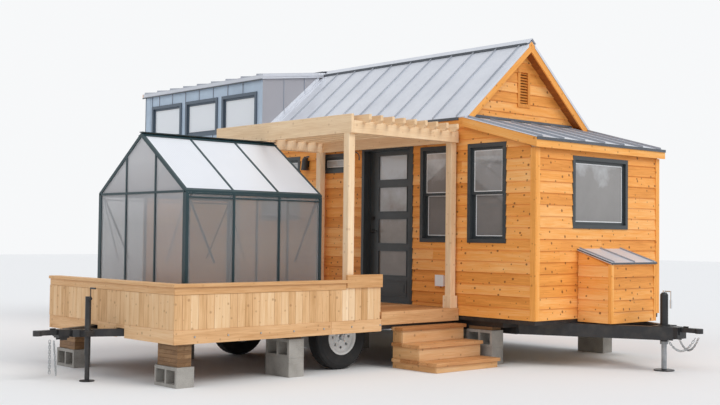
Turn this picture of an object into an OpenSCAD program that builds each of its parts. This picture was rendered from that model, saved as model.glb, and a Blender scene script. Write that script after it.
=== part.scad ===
/* [House] */
// Width of the house over its side walls
house_w = 2438; // [2200:1:2900]
// Length of the gabled main part
main_len = 7200; // [6600:10:9000]
// Depth of the lean-to in front of the gable
lean_depth = 1200; // [1100:10:1500]
// Thickness of the outer walls
wall_t = 140; // [110:1:180]
// Height of the floor above the ground
floor_z = 605; // [580:1:680]
// Thickness of the floor panel
floor_t = 100; // [60:1:120]
// How far the siding runs down below the floor
siding_drop = 53; // [20:1:55]

/* [Main roof] */
// Height of the eave edge above the doorway
head_clear = 279; // [250:1:500]
// Rise from the eave edge to the ridge
ridge_rise = 1070; // [800:1:1400]
// Side overhang of the main roof
eave_out = 30; // [25:1:35]
// Overhang of the main roof in front of the gable
rake_out = 139; // [60:1:250]
// Overhang of the main roof behind the back wall
tail_out = 70; // [40:1:200]
// Thickness of the main roof, square to its slope
roof_t = 102; // [80:1:160]
// Thickness of the boards along the roof edges
trim_t = 20; // [12:1:24]

/* [Lean-to roof] */
// Fall from the main eave edge to the lean-to eave edge
lean_drop = 309; // [300:1:400]
// Rise of the lean-to roof from its eave to the gable
lean_rise = 340; // [200:1:345]
// Overhang of the lean-to roof
lean_out = 70; // [50:1:150]
// Thickness of the lean-to roof, square to its slope
lean_t = 105; // [70:1:140]

/* [Dormer] */
// Distance from the gable to the near side of the dormer
dormer_at = 3930; // [3700:10:4300]
// Fall of the dormer roof from the ridge to its outer edge
dormer_drop = 149; // [60:1:300]
// Thickness of the dormer roof, measured upright
dormer_roof_t = 60; // [40:1:100]
// Width of a dormer window
dormer_win_w = 900; // [500:10:920]
// Height of a dormer window
dormer_win_h = 580; // [400:10:640]
// Clear wall between two dormer windows
dormer_win_gap = 120; // [80:1:200]
// Number of dormer windows
dormer_win_n = 3; // [1:1:3]

/* [Windows] */
// Distance from the top of the doorway down to the windows' heads
head_drop = 50; // [40:1:120]
// Width of the side windows
hung_w = 600; // [500:1:610]
// Height of the side windows
hung_h = 1177; // [900:1:1190]
// Distance of the lean-to side window from the front wall
lean_win_y = 422; // [300:1:500]
// Distance of the porch window from the front wall
porch_win_y = 1220; // [1200:1:1300]
// Width of the front window
front_win_w = 1101; // [800:1:1300]
// Height of the front window
front_win_h = 853; // [600:1:870]
// Distance from the side windows' heads down to the front window's head
front_drop = 144; // [140:1:300]
// Distance of the front window from the left side wall
front_win_x = 668; // [400:1:800]
// Width of the small high window beside the door
high_win_w = 600; // [400:1:640]
// Height of the small high window
high_win_h = 260; // [200:1:500]
// Distance of the small high window from the front wall
high_win_y = 3140; // [3100:1:3200]
// Width and height of the window behind the greenhouse
bath_win = 900; // [600:1:950]
// Distance of that window from the front wall
bath_win_y = 4215; // [4150:1:4250]
// Distance of the first back window in the right wall from the front wall
right_win_y = 3000; // [2500:10:3300]
// Spacing of the back windows in the right wall
right_win_pitch = 3400; // [3300:10:3500]
// Width of the frame round a window
frame_w = 48; // [35:1:60]
// Width of a sash bar
sash_w = 32; // [22:1:40]
// How far window and door frames stand out of the wall
frame_proud = 18; // [10:1:25]
// Thickness of a glass unit
glass_t = 14; // [4:1:20]

/* [Door] */
// Distance of the doorway from the front wall
door_y = 1951; // [1900:1:2000]
// Width of the doorway
door_w = 958; // [900:1:1000]
// Height of the doorway above the floor
door_h = 2045; // [1950:1:2060]
// Thickness of the door frame
jamb_t = 45; // [35:1:55]
// Thickness of the door leaf
leaf_t = 44; // [38:1:50]
// Clearance round the door leaf
leaf_gap = 5; // [5:1:8]
// Width of the door's side rails
stile_w = 168; // [120:1:190]
// Height of one door light
lite_h = 310; // [250:1:330]
// Spacing of the door lights
lite_pitch = 413; // [390:1:430]
// Number of door lights
lite_n = 4; // [3:1:4]
// Radius of the hinge pins
pin_r = 5; // [4:0.5:6]
// Running clearance round the hinge pins
pin_gap = 0.05; // [0.03:0.01:0.1]

/* [Utility box] */
// Width of the box on the front wall
box_w = 865; // [700:1:1000]
// Depth of the box
box_d = 475; // [350:1:550]
// Distance of the box from the left side wall
box_x = 775; // [600:1:900]
// Height of the box's bottom above the ground
box_z = 520; // [518:1:560]
// Height of the box's front above its bottom
box_h = 680; // [500:1:750]
// Fall of the box's lid from the wall to the front
box_fall = 150; // [100:1:250]

/* [House trailer] */
// Height of the trailer's beams
beam_h = 150; // [100:1:200]
// Width of the trailer's beams
beam_w = 75; // [60:1:90]
// Distance of the beams from the side walls
beam_inset = 300; // [280:1:360]
// Spacing of the cross members
cross_pitch = 1100; // [900:10:1300]
// Distance from the front wall to the point where the tongue's beams meet
tongue_len = 1150; // [1000:1:1400]
// Angle of each tongue beam from straight ahead
tongue_angle = 26.5; // [25:0.5:28]
// Radius of the tyres
tyre_r = 355; // [330:1:358]
// Width of the tyres
tyre_w = 205; // [165:1:215]
// Height of the wheel centres
hub_z = 360; // [358:1:380]
// Radius of the rims
rim_r = 200; // [180:1:215]
// Distance from the front wall to the first axle
axle_y = 4670; // [4500:10:4800]
// Spacing of the two axles
axle_pitch = 860; // [820:10:900]
// Clearance between tyre and wheel well
well_gap = 60; // [40:1:80]
// How far the wheel arches stand out of the walls
fender_lip = 76; // [20:2:120]

/* [Porch trailer] */
// Length of the porch along the tongue
porch_l = 3972; // [3700:1:4200]
// Width of the porch
porch_w = 2591; // [2500:1:2700]
// Distance of the porch's near side from the front wall
porch_y = 1145; // [1120:1:1200]
// Gap between the porch deck and the door frame
porch_gap = 0.5; // [0.3:0.1:3]
// Height of the porch deck above the ground
deck_z = 639; // [610:1:660]
// Thickness of the deck boards
deck_t = 38; // [25:1:40]
// Height of the porch frame's beams
porch_beam_h = 100; // [80:1:110]
// Height of the beams' underside
porch_beam_z = 440; // [430:1:450]
// Distance of the porch axle from the porch's house end
porch_axle_x = 1616; // [1550:1:1700]
// Distance of the wheels from the porch's sides
wheel_inset = 250; // [220:1:280]

/* [Planter] */
// Height of the planter's cap above the deck
planter_h = 367; // [300:1:450]
// Thickness of the planter's walls
planter_t = 32; // [25:1:40]
// Thickness of the boards laid on the planter
facing_t = 19; // [12:1:22]
// Height of the cap
cap_h = 33; // [25:1:45]
// Height of the rail board under the cap
rail_board_h = 71; // [50:1:100]
// Height of the skirt board at the bottom
skirt_h = 137; // [100:1:160]
// Height of the skirt's lower edge above the ground
skirt_z = 425; // [400:1:438]
// Distance from the porch's house end to the planter's end
planter_end = 1263; // [1000:1:1270]

/* [Pergola] */
// Width of the pergola's posts
post_w = 89; // [70:1:100]
// Gap between the greenhouse ridge and the beams' underside
pergola_over = 13; // [10:1:60]
// Height of the pergola's front and back beams
pergola_beam_h = 140; // [120:1:150]
// Length of the pergola along the porch
pergola_l = 1722; // [1650:1:1722]
// Thickness of a rafter
rafter_t = 38; // [30:1:45]
// Height of a rafter
rafter_h = 89; // [70:1:100]
// Depth of the notch where a rafter sits on a beam
rafter_notch = 18; // [10:1:25]
// Number of rafters
rafter_n = 9; // [6:1:10]
// Length of the rafter tails in front of the beam
tail_len = 120; // [60:1:160]

/* [Greenhouse] */
// Length and width of the greenhouse
gh_w = 1850; // [1700:1:1852]
// Distance of the greenhouse from the porch's tongue end
gh_inset = 587; // [540:1:640]
// Height of its eaves above the deck
gh_eave_h = 1315; // [1200:1:1400]
// Height of its ridge above the deck
gh_ridge_h = 1970; // [1850:1:2040]
// Width of its corner bars
gh_post = 38; // [30:1:60]
// Width of its glazing bars
gh_bar = 26; // [20:1:30]
// Number of bays in each side
gh_bays = 3; // [2:1:4]
// Thickness of the clear panels
gh_panel_t = 8; // [4:1:10]

/* [Steps] */
// Number of treads below the deck
tread_n = 3; // [2:1:3]
// Rise from tread to tread
step_rise = 177; // [165:1:185]
// Run from tread to tread
step_run = 266; // [240:1:300]
// Width of the steps
step_w = 1055; // [900:1:1100]
// Overhang of a tread past its box
tread_out = 25; // [15:1:30]
// Thickness of a tread
tread_t = 38; // [30:1:40]

/* [Hidden] */
$fn = 48;
joint_gap = 0.5;
seat_gap = 0.3;
far = 20000;

// Levels and walls of the house
back_y = lean_depth + main_len;
gable_y = lean_depth;
wall_z = floor_z - siding_drop;
beam_top = floor_z - floor_t;
beam_z = beam_top - beam_h;
mid_x = house_w / 2;

// Main roof
eave_z = floor_z + door_h + head_clear;
ridge_z = eave_z + ridge_rise;
slope = ridge_rise / (mid_x + eave_out);
roof_v = roof_t * sqrt(1 + slope * slope);
rake_y = gable_y - rake_out;
tail_y = back_y + tail_out;
function roof_top(x) = ridge_z - abs(x - mid_x) * slope;
function roof_under(x) = roof_top(x) - roof_v;
function wall_top(x) = roof_under(x) - seat_gap;

// Lean-to roof
lean_eave_z = eave_z - lean_drop;
lean_slope = lean_rise / (lean_depth + lean_out);
lean_v = lean_t * sqrt(1 + lean_slope * lean_slope);
function lean_top(y) = lean_eave_z + (y + lean_out) * lean_slope;
function lean_under(y) = lean_top(y) - lean_v;
function lean_wall_top(y) = lean_under(y) - seat_gap;

// Dormer
dormer_y = gable_y + dormer_at;
dormer_slope = dormer_drop / (mid_x + eave_out);
dormer_sill_z = eave_z + 111;
dormer_side = 140;
function dormer_top(x) = ridge_z - (mid_x - x) * dormer_slope;
function dormer_under(x) = dormer_top(x) - dormer_roof_t;
function dormer_wall_top(x) = dormer_under(x) - seat_gap;

// Porch trailer
porch_x1 = -frame_proud - porch_gap;
porch_x0 = porch_x1 - porch_l;
porch_y1 = porch_y + porch_w;
porch_mid_y = porch_y + porch_w / 2;
porch_axle = porch_x1 - porch_axle_x;
wall_y = porch_y + facing_t;
trough_y = wall_y + planter_t;
planter_x1 = porch_x1 - planter_end;
cap_top = deck_z + planter_h;
rail_top = cap_top - cap_h;
boards_z = skirt_z + skirt_h;
gh_x0 = porch_x0 + gh_inset;
gh_x1 = gh_x0 + gh_w;
gh_y1 = porch_y1 - 1;
gh_y0 = gh_y1 - gh_w;
gh_mid_y = (gh_y0 + gh_y1) / 2;
gh_eave = deck_z + gh_eave_h;
gh_ridge = deck_z + gh_ridge_h;
post_y = trough_y + 1;
beam_bottom = gh_ridge + pergola_over;
pergola_x1 = porch_x1 - 26;
pergola_x0 = pergola_x1 - pergola_l;

// Ends of the tongues, which set the whole object's box
coupler_l = 250;
house_nose_y = -tongue_len - coupler_l + 30;
porch_nose_l = 590;
porch_apex_x = porch_x0 - porch_nose_l;
porch_nose_x = porch_apex_x - coupler_l + 30;
right_x = house_w + max(lean_out, fender_lip);
back_end_y = tail_y + trim_t;
origin_x = (porch_nose_x + right_x) / 2;
origin_y = (house_nose_y + back_end_y) / 2;

// Draws its children from the origin at the middle of the object's footprint
module placed() { translate([-origin_x, -origin_y, 0]) children(); }

// A box between two corners
module block(low, high) { translate(low) cube(high - low); }

// Extrudes a profile drawn in X and Z along Y
module along_y(y0, y1) { translate([0, y1, 0]) rotate([90, 0, 0]) linear_extrude(y1 - y0) children(); }

// Extrudes a profile drawn in Y and Z along X
module along_x(x0, x1) { translate([x0, 0, 0]) rotate([90, 0, 90]) linear_extrude(x1 - x0) children(); }

// Turns a piece drawn against the front wall to another wall: x runs along, y inward
module on_left(y, z) { translate([0, y, z]) mirror([1, -1, 0]) children(); }
module on_right(y, z) { translate([house_w, y, z]) rotate([0, 0, 90]) children(); }
module on_front(x, z) { translate([x, 0, z]) children(); }
module on_back(x, z) { translate([x, back_y, z]) mirror([0, 1, 0]) children(); }

// Everything above the underside of the main roof
module above_main_roof() {
    along_y(rake_y, far)
        polygon([[-far, wall_top(-far)], [mid_x, wall_top(mid_x)],
            [house_w + far, wall_top(house_w + far)], [house_w + far, far], [-far, far]]);
}

// Everything above the underside of the lean-to roof
module above_lean_roof() {
    along_x(-far, far)
        polygon([[-far, lean_wall_top(-far)], [gable_y, lean_wall_top(gable_y)], [gable_y, far],
            [-far, far]]);
}

// Where each kind of window sits: along the wall, sill height, width, height
window_head = floor_z + door_h - head_drop;
hung_z = window_head - hung_h;
front_z = window_head - front_drop - front_win_h;
dormer_win_y = dormer_y + dormer_side;
module left_windows(kind) {
    on_left(lean_win_y, hung_z) window(kind, hung_w, hung_h, true);
    on_left(porch_win_y, hung_z) window(kind, hung_w, hung_h, true);
    on_left(high_win_y, window_head - high_win_h) window(kind, high_win_w, high_win_h, false);
    on_left(bath_win_y, window_head - bath_win) window(kind, bath_win, bath_win, false);
}
module dormer_windows(kind) {
    for (i = [0:dormer_win_n - 1])
        on_left(dormer_win_y + i * (dormer_win_w + dormer_win_gap), dormer_sill_z)
            window(kind, dormer_win_w, dormer_win_h, false);
}
module right_windows(kind) {
    on_right(lean_win_y, hung_z) window(kind, hung_w, hung_h, true);
    for (i = [0:1])
        on_right(right_win_y + i * right_win_pitch, hung_z) window(kind, hung_w, hung_h, true);
}
module front_windows(kind) {
    on_front(front_win_x, front_z) window(kind, front_win_w, front_win_h, false);
}
module back_windows(kind) {
    on_back(mid_x - front_win_w / 2, front_z) window(kind, front_win_w, front_win_h, false);
}

// One window: its hole, its frame or its glass
module window(kind, w, h, hung) {
    if (kind == "hole") block([0, -1, 0], [w, wall_t + 1, h]);
    if (kind == "frame") window_frame(w, h, hung);
    if (kind == "glass") window_glass_units(w, h, hung);
}

// A ring standing on its edge
module ring(w, h, bar, y0, y1) {
    difference() {
        block([0, y0, 0], [w, y1, h]);
        block([bar, y0 - 1, bar], [w - bar, y1 + 1, h - bar]);
    }
}

// Frame with a fixed sash, or with an upper sash in front of a lower one
sash_front = 12;
sash_back = 44;
module window_frame(w, h, hung) {
    clear = frame_w;
    ring(w, h, frame_w, -frame_proud, wall_t - 30);
    if (hung) {
        translate([clear, 0, h / 2 - sash_w / 2])
            ring(w - 2 * clear, h / 2 - clear + sash_w / 2, sash_w, sash_front, sash_back);
        translate([clear, 0, clear])
            ring(w - 2 * clear, h / 2 - clear + sash_w / 2, sash_w, sash_back, sash_back + 32);
    } else {
        translate([clear, 0, clear]) ring(w - 2 * clear, h - 2 * clear, sash_w, sash_front, sash_back);
    }
}

// Glass units seated between the sash bars
module glass_unit(x, z, w, h, y) { block([x, y, z], [x + w, y + glass_t, z + h]); }
module window_glass_units(w, h, hung) {
    edge = frame_w + sash_w;
    seat = (sash_back - sash_front - glass_t) / 2;
    if (hung) {
        tall = h / 2 - frame_w - 1.5 * sash_w;
        glass_unit(edge, h / 2 + sash_w / 2, w - 2 * edge, tall, sash_front + seat);
        glass_unit(edge, edge, w - 2 * edge, tall, sash_back + seat);
    } else {
        glass_unit(edge, edge, w - 2 * edge, h - 2 * edge, sash_front + seat);
    }
}

// Rounded wheel wells over the two axles, as a profile in Y and Z
well_r = tyre_r + well_gap;
module well_profile(r) {
    intersection() {
        union() {
            for (i = [0:1]) translate([axle_y + i * axle_pitch, hub_z]) circle(r, $fn = 64);
            translate([axle_y, hub_z - r]) square([axle_pitch, 2 * r]);
        }
        translate([axle_y - 2 * r, beam_top]) square([axle_pitch + 4 * r, 2 * r]);
    }
}
well_in = 230;

module left_wall(y0, y1) {
    difference() {
        block([0, y0, wall_z], [wall_t, y1, ridge_z]);
        above_main_roof();
        above_lean_roof();
        left_windows("hole");
        along_x(-1, wall_t + 1) well_profile(well_r);
    }
}
module left_wall_front() { placed() color("#C97B35") left_wall(wall_t, door_y); }
module left_wall_back() { placed() color("#C97B35") left_wall(door_y + door_w, back_y - wall_t); }
module left_wall_over_door() {
    placed() color("#C97B35")
    difference() {
        block([0, door_y, floor_z + door_h], [wall_t, door_y + door_w, ridge_z]);
        above_main_roof();
    }
}
module right_wall() {
    placed() color("#C97B35")
    difference() {
        block([house_w - wall_t, wall_t, wall_z], [house_w, back_y - wall_t, ridge_z]);
        above_main_roof();
        above_lean_roof();
        right_windows("hole");
        along_x(house_w - wall_t - 1, house_w + 1) well_profile(well_r);
    }
}
module lean_to_front_wall() {
    placed() color("#E8A04F")
    difference() {
        block([0, 0, wall_z], [house_w, wall_t, ridge_z]);
        above_lean_roof();
        front_windows("hole");
    }
}
module back_wall() {
    placed() color("#C97B35")
    difference() {
        along_y(back_y - wall_t, back_y)
            polygon([[0, wall_z], [house_w, wall_z], [house_w, wall_top(house_w)],
                [mid_x, wall_top(mid_x)], [mid_x, dormer_wall_top(mid_x)], [0, dormer_wall_top(0)]]);
        back_windows("hole");
    }
}

// Gable over the lean-to roof, on a beam across the house
vent_w = 243;
vent_h = 495;
vent_drop = 839;
vent_z = ridge_z - vent_drop;
header_z = floor_z + door_h + head_drop;
module front_gable() {
    placed() color("#E8A04F")
    difference() {
        along_y(gable_y, gable_y + wall_t)
            polygon([[wall_t, header_z], [house_w - wall_t, header_z],
                [house_w - wall_t, wall_top(house_w - wall_t)], [mid_x, wall_top(mid_x)],
                [wall_t, wall_top(wall_t)]]);
        block([mid_x - vent_w / 2, gable_y - 1, vent_z],
            [mid_x + vent_w / 2, gable_y + wall_t + 1, vent_z + vent_h]);
    }
}

// Framed vent with sloping slats
vent_bar = 46;
slat_n = 11;
slat_t = 9;
slat_d = 44;
vent_proud = 20;
module gable_vent() {
    pitch = (vent_h - 2 * vent_bar) / slat_n;
    placed() color("#E8963F")
    translate([mid_x - vent_w / 2, gable_y, vent_z]) {
        ring(vent_w, vent_h, vent_bar, -vent_proud, 60);
        for (i = [0:slat_n - 1])
            translate([vent_bar - 2, -vent_proud / 2, vent_bar + pitch * (i + 0.3)])
                rotate([40, 0, 0]) cube([vent_w - 2 * vent_bar + 4, slat_d, slat_t]);
    }
}

// Boards that wrap each corner of the house
corner_w = 60;
module corner(h) {
    difference() {
        block([-trim_t, -trim_t, 0], [corner_w, corner_w, h]);
        block([0, 0, -1], [corner_w + 1, corner_w + 1, h + 1]);
    }
}
module corner_boards() {
    front_h = lean_under(0) - wall_z - 20;
    back_h = roof_under(house_w) - wall_z - 20;
    placed() color("#EDAA5C") {
        translate([0, 0, wall_z]) corner(front_h);
        translate([house_w, 0, wall_z]) mirror([1, 0, 0]) corner(front_h);
        translate([0, back_y, wall_z]) mirror([0, 1, 0]) corner(back_h);
        translate([house_w, back_y, wall_z]) mirror([1, 0, 0]) mirror([0, 1, 0]) corner(back_h);
    }
}

// Floor panel on the trailer, raised between the walls
module floor() {
    placed() color("#B98A5A")
    difference() {
        union() {
            block([0, 0, beam_top], [house_w, back_y, wall_z]);
            block([wall_t, wall_t, wall_z - 1], [house_w - wall_t, back_y - wall_t, floor_z]);
            block([0, door_y, wall_z - 1], [wall_t + 1, door_y + door_w, floor_z]);
        }
        along_x(-1, well_in) well_profile(well_r);
        along_x(house_w - well_in, house_w + 1) well_profile(well_r);
    }
}

// One slope of the main roof, between two distances from the left wall
module roof_panel(x0, x1, y0, y1) {
    along_y(y0, y1)
        polygon([[x0, roof_under(x0)], [x1, roof_under(x1)], [x1, roof_top(x1)], [x0, roof_top(x0)]]);
}
panel_x0 = -eave_out + trim_t;
module roof_left() { placed() color("#B9BDC4") roof_panel(panel_x0, mid_x, rake_y + trim_t, dormer_y); }
module roof_right() { placed() color("#B9BDC4") roof_panel(mid_x, house_w - panel_x0, rake_y + trim_t, tail_y); }

// Folded cap along the ridge
cap_w = 120;
cap_t = 8;
cap_z = ridge_z + seat_gap;
module ridge_cap() {
    right_z = roof_top(mid_x + cap_w) + seat_gap;
    placed() color("#5C6166") {
        along_y(rake_y, dormer_y - 30 - joint_gap) cap_profile(right_z, right_z);
        along_y(dormer_y - 30, tail_y) cap_profile(dormer_top(mid_x - cap_w) + seat_gap, right_z);
    }
}
module cap_profile(left_z, right_z) {
    polygon([[mid_x - cap_w, left_z], [mid_x, cap_z], [mid_x + cap_w, right_z],
        [mid_x + cap_w, right_z + cap_t], [mid_x, cap_z + cap_t], [mid_x - cap_w, left_z + cap_t]]);
}

// Sloping board on the edge of the main roof, from the eave to the ridge
module rake_board(y0) {
    x0 = -eave_out;
    x1 = mid_x - joint_gap / 2;
    along_y(y0, y0 + trim_t)
        polygon([[x0, roof_under(x0)], [x1, roof_under(x1)], [x1, roof_top(x1) - 2],
            [x0, roof_top(x0) - 2]]);
}
module mirrored_x() { translate([house_w, 0, 0]) mirror([1, 0, 0]) children(); }
module roof_trim() {
    fascia_h = 120;
    lean_fascia_h = 108;
    placed() color("#F0A254") {
        rake_board(rake_y);
        mirrored_x() rake_board(rake_y);
        mirrored_x() rake_board(tail_y);
        along_y(tail_y, tail_y + trim_t)
            polygon([[-eave_out, dormer_under(-eave_out)], [mid_x - 1, dormer_under(mid_x - 1)],
                [mid_x - 1, ridge_z - 3], [-eave_out, dormer_top(-eave_out) - 3]]);
        block([-eave_out, rake_y + trim_t + joint_gap, eave_z - fascia_h],
            [panel_x0, dormer_y - joint_gap, eave_z - 2]);
        block([house_w - panel_x0, rake_y + trim_t + joint_gap, eave_z - fascia_h],
            [house_w + eave_out, tail_y - joint_gap, eave_z - 2]);
        block([-lean_out, -lean_out, lean_eave_z - lean_fascia_h],
            [house_w + lean_out, -lean_out + trim_t, lean_eave_z - 2]);
        lean_rake();
        mirrored_x() lean_rake();
    }
}
module lean_rake() {
    y0 = -lean_out + trim_t + joint_gap;
    y1 = rake_y - joint_gap;
    along_x(-lean_out, -lean_out + trim_t)
        polygon([[y0, lean_under(y0)], [y1, lean_under(y1)], [y1, lean_top(y1) - 2],
            [y0, lean_top(y0) - 2]]);
}

// Lean-to roof, cut to pass under the eaves of the main roof
module lean_to_roof() {
    x0 = -lean_out + trim_t;
    y0 = -lean_out + trim_t;
    placed() color("#A9ADB3")
    difference() {
        union() {
            lean_panel(x0, house_w - x0, y0, rake_y);
            lean_panel(0, house_w, rake_y - 1, gable_y);
        }
        above_main_roof();
    }
}
module lean_panel(x0, x1, y0, y1) {
    along_x(x0, x1)
        polygon([[y0, lean_under(y0)], [y1, lean_under(y1)], [y1, lean_top(y1)], [y0, lean_top(y0)]]);
}

// Metal-clad dormer on the left slope: its face and its near side
module dormer_walls() {
    placed() color("#A5B3C0") {
        difference() {
            along_y(dormer_y + wall_t + joint_gap, back_y - wall_t)
                polygon([[0, roof_under(0)], [wall_t, roof_under(wall_t)],
                    [wall_t, dormer_wall_top(wall_t)], [0, dormer_wall_top(0)]]);
            dormer_windows("hole");
        }
        difference() {
            along_y(dormer_y, dormer_y + wall_t)
                polygon([[0, roof_under(0)], [mid_x, roof_under(mid_x)], [mid_x, dormer_wall_top(mid_x)],
                    [0, dormer_wall_top(0)]]);
            dormer_windows("hole");
        }
    }
}
module dormer_roof() {
    placed() color("#8F959B")
    difference() {
        along_y(dormer_y - 30, tail_y)
            polygon([[-eave_out, dormer_under(-eave_out)], [mid_x, dormer_under(mid_x)], [mid_x, ridge_z],
                [-eave_out, dormer_top(-eave_out)]]);
        along_y(dormer_y - 31, dormer_y)
            polygon([[0, roof_top(0) + seat_gap], [mid_x, ridge_z + seat_gap],
                [mid_x + 1, ridge_z + seat_gap], [mid_x + 1, 0], [0, 0]]);
    }
}

module window_frames() {
    placed() color("#3C4143") {
        left_windows("frame");
        dormer_windows("frame");
        right_windows("frame");
        front_windows("frame");
        back_windows("frame");
    }
}
module window_glass() {
    placed() color("#AFC4D2", 0.5) {
        left_windows("glass");
        dormer_windows("glass");
        right_windows("glass");
        front_windows("glass");
        back_windows("glass");
    }
}

// Doorway drawn in the left wall: x runs along the wall, y inward, z from the floor
sill_h = 25;
leaf_x0 = jamb_t + leaf_gap;
leaf_x1 = door_w - jamb_t - leaf_gap;
leaf_z0 = sill_h + leaf_gap;
leaf_z1 = door_h - jamb_t - leaf_gap;
leaf_y0 = wall_t - leaf_t;
pin_x = leaf_x0 - leaf_gap / 2;
knuckle_r = pin_r + 4;
pin_y = wall_t + knuckle_r + 1;
hinge_h = 90;
hinge_z = [leaf_z0 + 150, (leaf_z0 + leaf_z1) / 2 - hinge_h / 2, leaf_z1 - 150 - hinge_h];
module in_doorway() { on_left(door_y, floor_z) children(); }

module door_frame() {
    stop_y = leaf_y0 - leaf_gap;
    placed() color("#3F4446")
    in_doorway() {
        difference() {
            block([0, -frame_proud, 0], [door_w, wall_t, door_h]);
            block([jamb_t, -frame_proud - 1, sill_h], [door_w - jamb_t, wall_t + 1, door_h - jamb_t]);
        }
        difference() {
            block([jamb_t - 1, stop_y - 30, sill_h - 1], [door_w - jamb_t + 1, stop_y, door_h - jamb_t + 1]);
            block([jamb_t + 14, stop_y - 31, sill_h], [door_w - jamb_t - 14, stop_y + 1, door_h - jamb_t - 14]);
        }
        for (z = hinge_z) {
            block([jamb_t - 36, wall_t, z], [jamb_t - 8, wall_t + 3, z + hinge_h]);
            translate([pin_x, pin_y, z]) cylinder(h = hinge_h, r = pin_r);
            knuckle(z, hinge_h / 3 - 0.5);
            knuckle(z + hinge_h * 2 / 3 + 0.5, hinge_h / 3 - 0.5);
        }
    }
}

// Fixed knuckle, joined to its plate by a tab
module knuckle(z, h) {
    translate([pin_x, pin_y, z]) cylinder(h = h, r = knuckle_r);
    block([jamb_t - 20, wall_t, z], [pin_x, wall_t + 5, z + h]);
}

module entry_door() {
    placed() color("#42484B")
    in_doorway() {
        difference() {
            block([leaf_x0, leaf_y0, leaf_z0], [leaf_x1, wall_t, leaf_z1]);
            door_lites() block([0, -far, 0], [leaf_x1 - leaf_x0 - 2 * stile_w, far, lite_h]);
            for (y = [leaf_y0 - 1, wall_t - 7])
                block([leaf_x0 + stile_w, y, leaf_z0 + 90],
                    [leaf_x1 - stile_w, y + 8, lite_z0 - 70]);
        }
        block([leaf_x0 + stile_w + 40, leaf_y0 + 2, leaf_z0 + 130],
            [leaf_x1 - stile_w - 40, wall_t - 2, lite_z0 - 110]);
        for (z = hinge_z) door_knuckle(z + hinge_h / 3 + 0.25, hinge_h / 3 - 0.5);
    }
}
lite_z0 = leaf_z1 - 64 - (lite_n - 1) * lite_pitch - lite_h;
module door_lites() {
    for (i = [0:lite_n - 1])
        translate([leaf_x0 + stile_w, 0, lite_z0 + i * lite_pitch]) children();
}

// Moving knuckle with its bore round the pin
module door_knuckle(z, h) {
    difference() {
        union() {
            translate([pin_x, pin_y, z]) cylinder(h = h, r = knuckle_r);
            block([pin_x, wall_t + 0.5, z], [leaf_x0 + 30, wall_t + 5, z + h]);
            block([leaf_x0 + 6, wall_t - 1, z], [leaf_x0 + 30, wall_t + 5, z + h]);
        }
        translate([pin_x, pin_y, z - 1]) cylinder(h = h + 2, r = pin_r + pin_gap);
    }
}
module door_glass() {
    y = leaf_y0 + (leaf_t - glass_t) / 2;
    placed() color("#AFC4D2", 0.5)
    in_doorway()
        door_lites() block([0, y, 0], [leaf_x1 - leaf_x0 - 2 * stile_w, y + glass_t, lite_h]);
}

// Lever on a round rose, with a separate lock above, on both faces
handle_x = leaf_x1 - 66;
lever_z = 951;
lock_z = 1121;
module door_handle() {
    placed() color("#2A2A2C")
    in_doorway() {
        lever_set(leaf_y0, -1);
        lever_set(wall_t, 1);
    }
}
module lever_set(y, out) {
    for (z = [lever_z, lock_z])
        translate([handle_x, y, z]) rotate([-90 * out, 0, 0]) cylinder(h = 10, r = 28);
    translate([handle_x, y, lever_z]) rotate([-90 * out, 0, 0]) cylinder(h = 50, r = 9);
    translate([handle_x, y + out * 48, lever_z]) rotate([0, -90, 0]) cylinder(h = 110, r = 8);
    translate([handle_x, y, lock_z]) rotate([-90 * out, 0, 0]) cylinder(h = 22, r = 17);
}

// Closed box for meters and tanks on the front wall, under a sloping lid
lid_out = 22;
lid_t = 22;
module utility_box() {
    placed() color("#E8A04F")
    along_x(box_x, box_x + box_w)
        polygon([[-box_d, box_z], [0, box_z], [0, box_z + box_h + box_fall],
            [-box_d, box_z + box_h]]);
}
module utility_box_lid() {
    fall = box_fall / box_d;
    back = box_z + box_h + box_fall + seat_gap;
    front = box_z + box_h - fall * lid_out + seat_gap;
    placed() color("#A9ADB3")
    along_x(box_x - lid_out, box_x + box_w + lid_out)
        polygon([[-box_d - lid_out, front], [0, back], [0, back + lid_t],
            [-box_d - lid_out, front + lid_t]]);
}

lamp_y = bath_win_y - 165;
lamp_z = window_head - 200;
module wall_lamp() {
    placed() color("#2F3335")
    on_left(lamp_y, lamp_z) {
        block([-35, -12, 40], [35, 0, 200]);
        translate([0, -62, 0]) cylinder(h = 150, r1 = 55, r2 = 38);
        translate([0, -62, 150]) cylinder(h = 40, r1 = 38, r2 = 10);
        block([-12, -62, 150], [12, 0, 174]);
    }
}
outlet_y = porch_win_y + 156;
outlet_z = deck_z + 254;
module outlet_box() {
    placed() color("#E8E8E6")
    on_left(outlet_y, outlet_z) {
        block([0, -45, 0], [137, 0, 129]);
        block([-4, -50, -4], [141, -45, 133]);
    }
}

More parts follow.
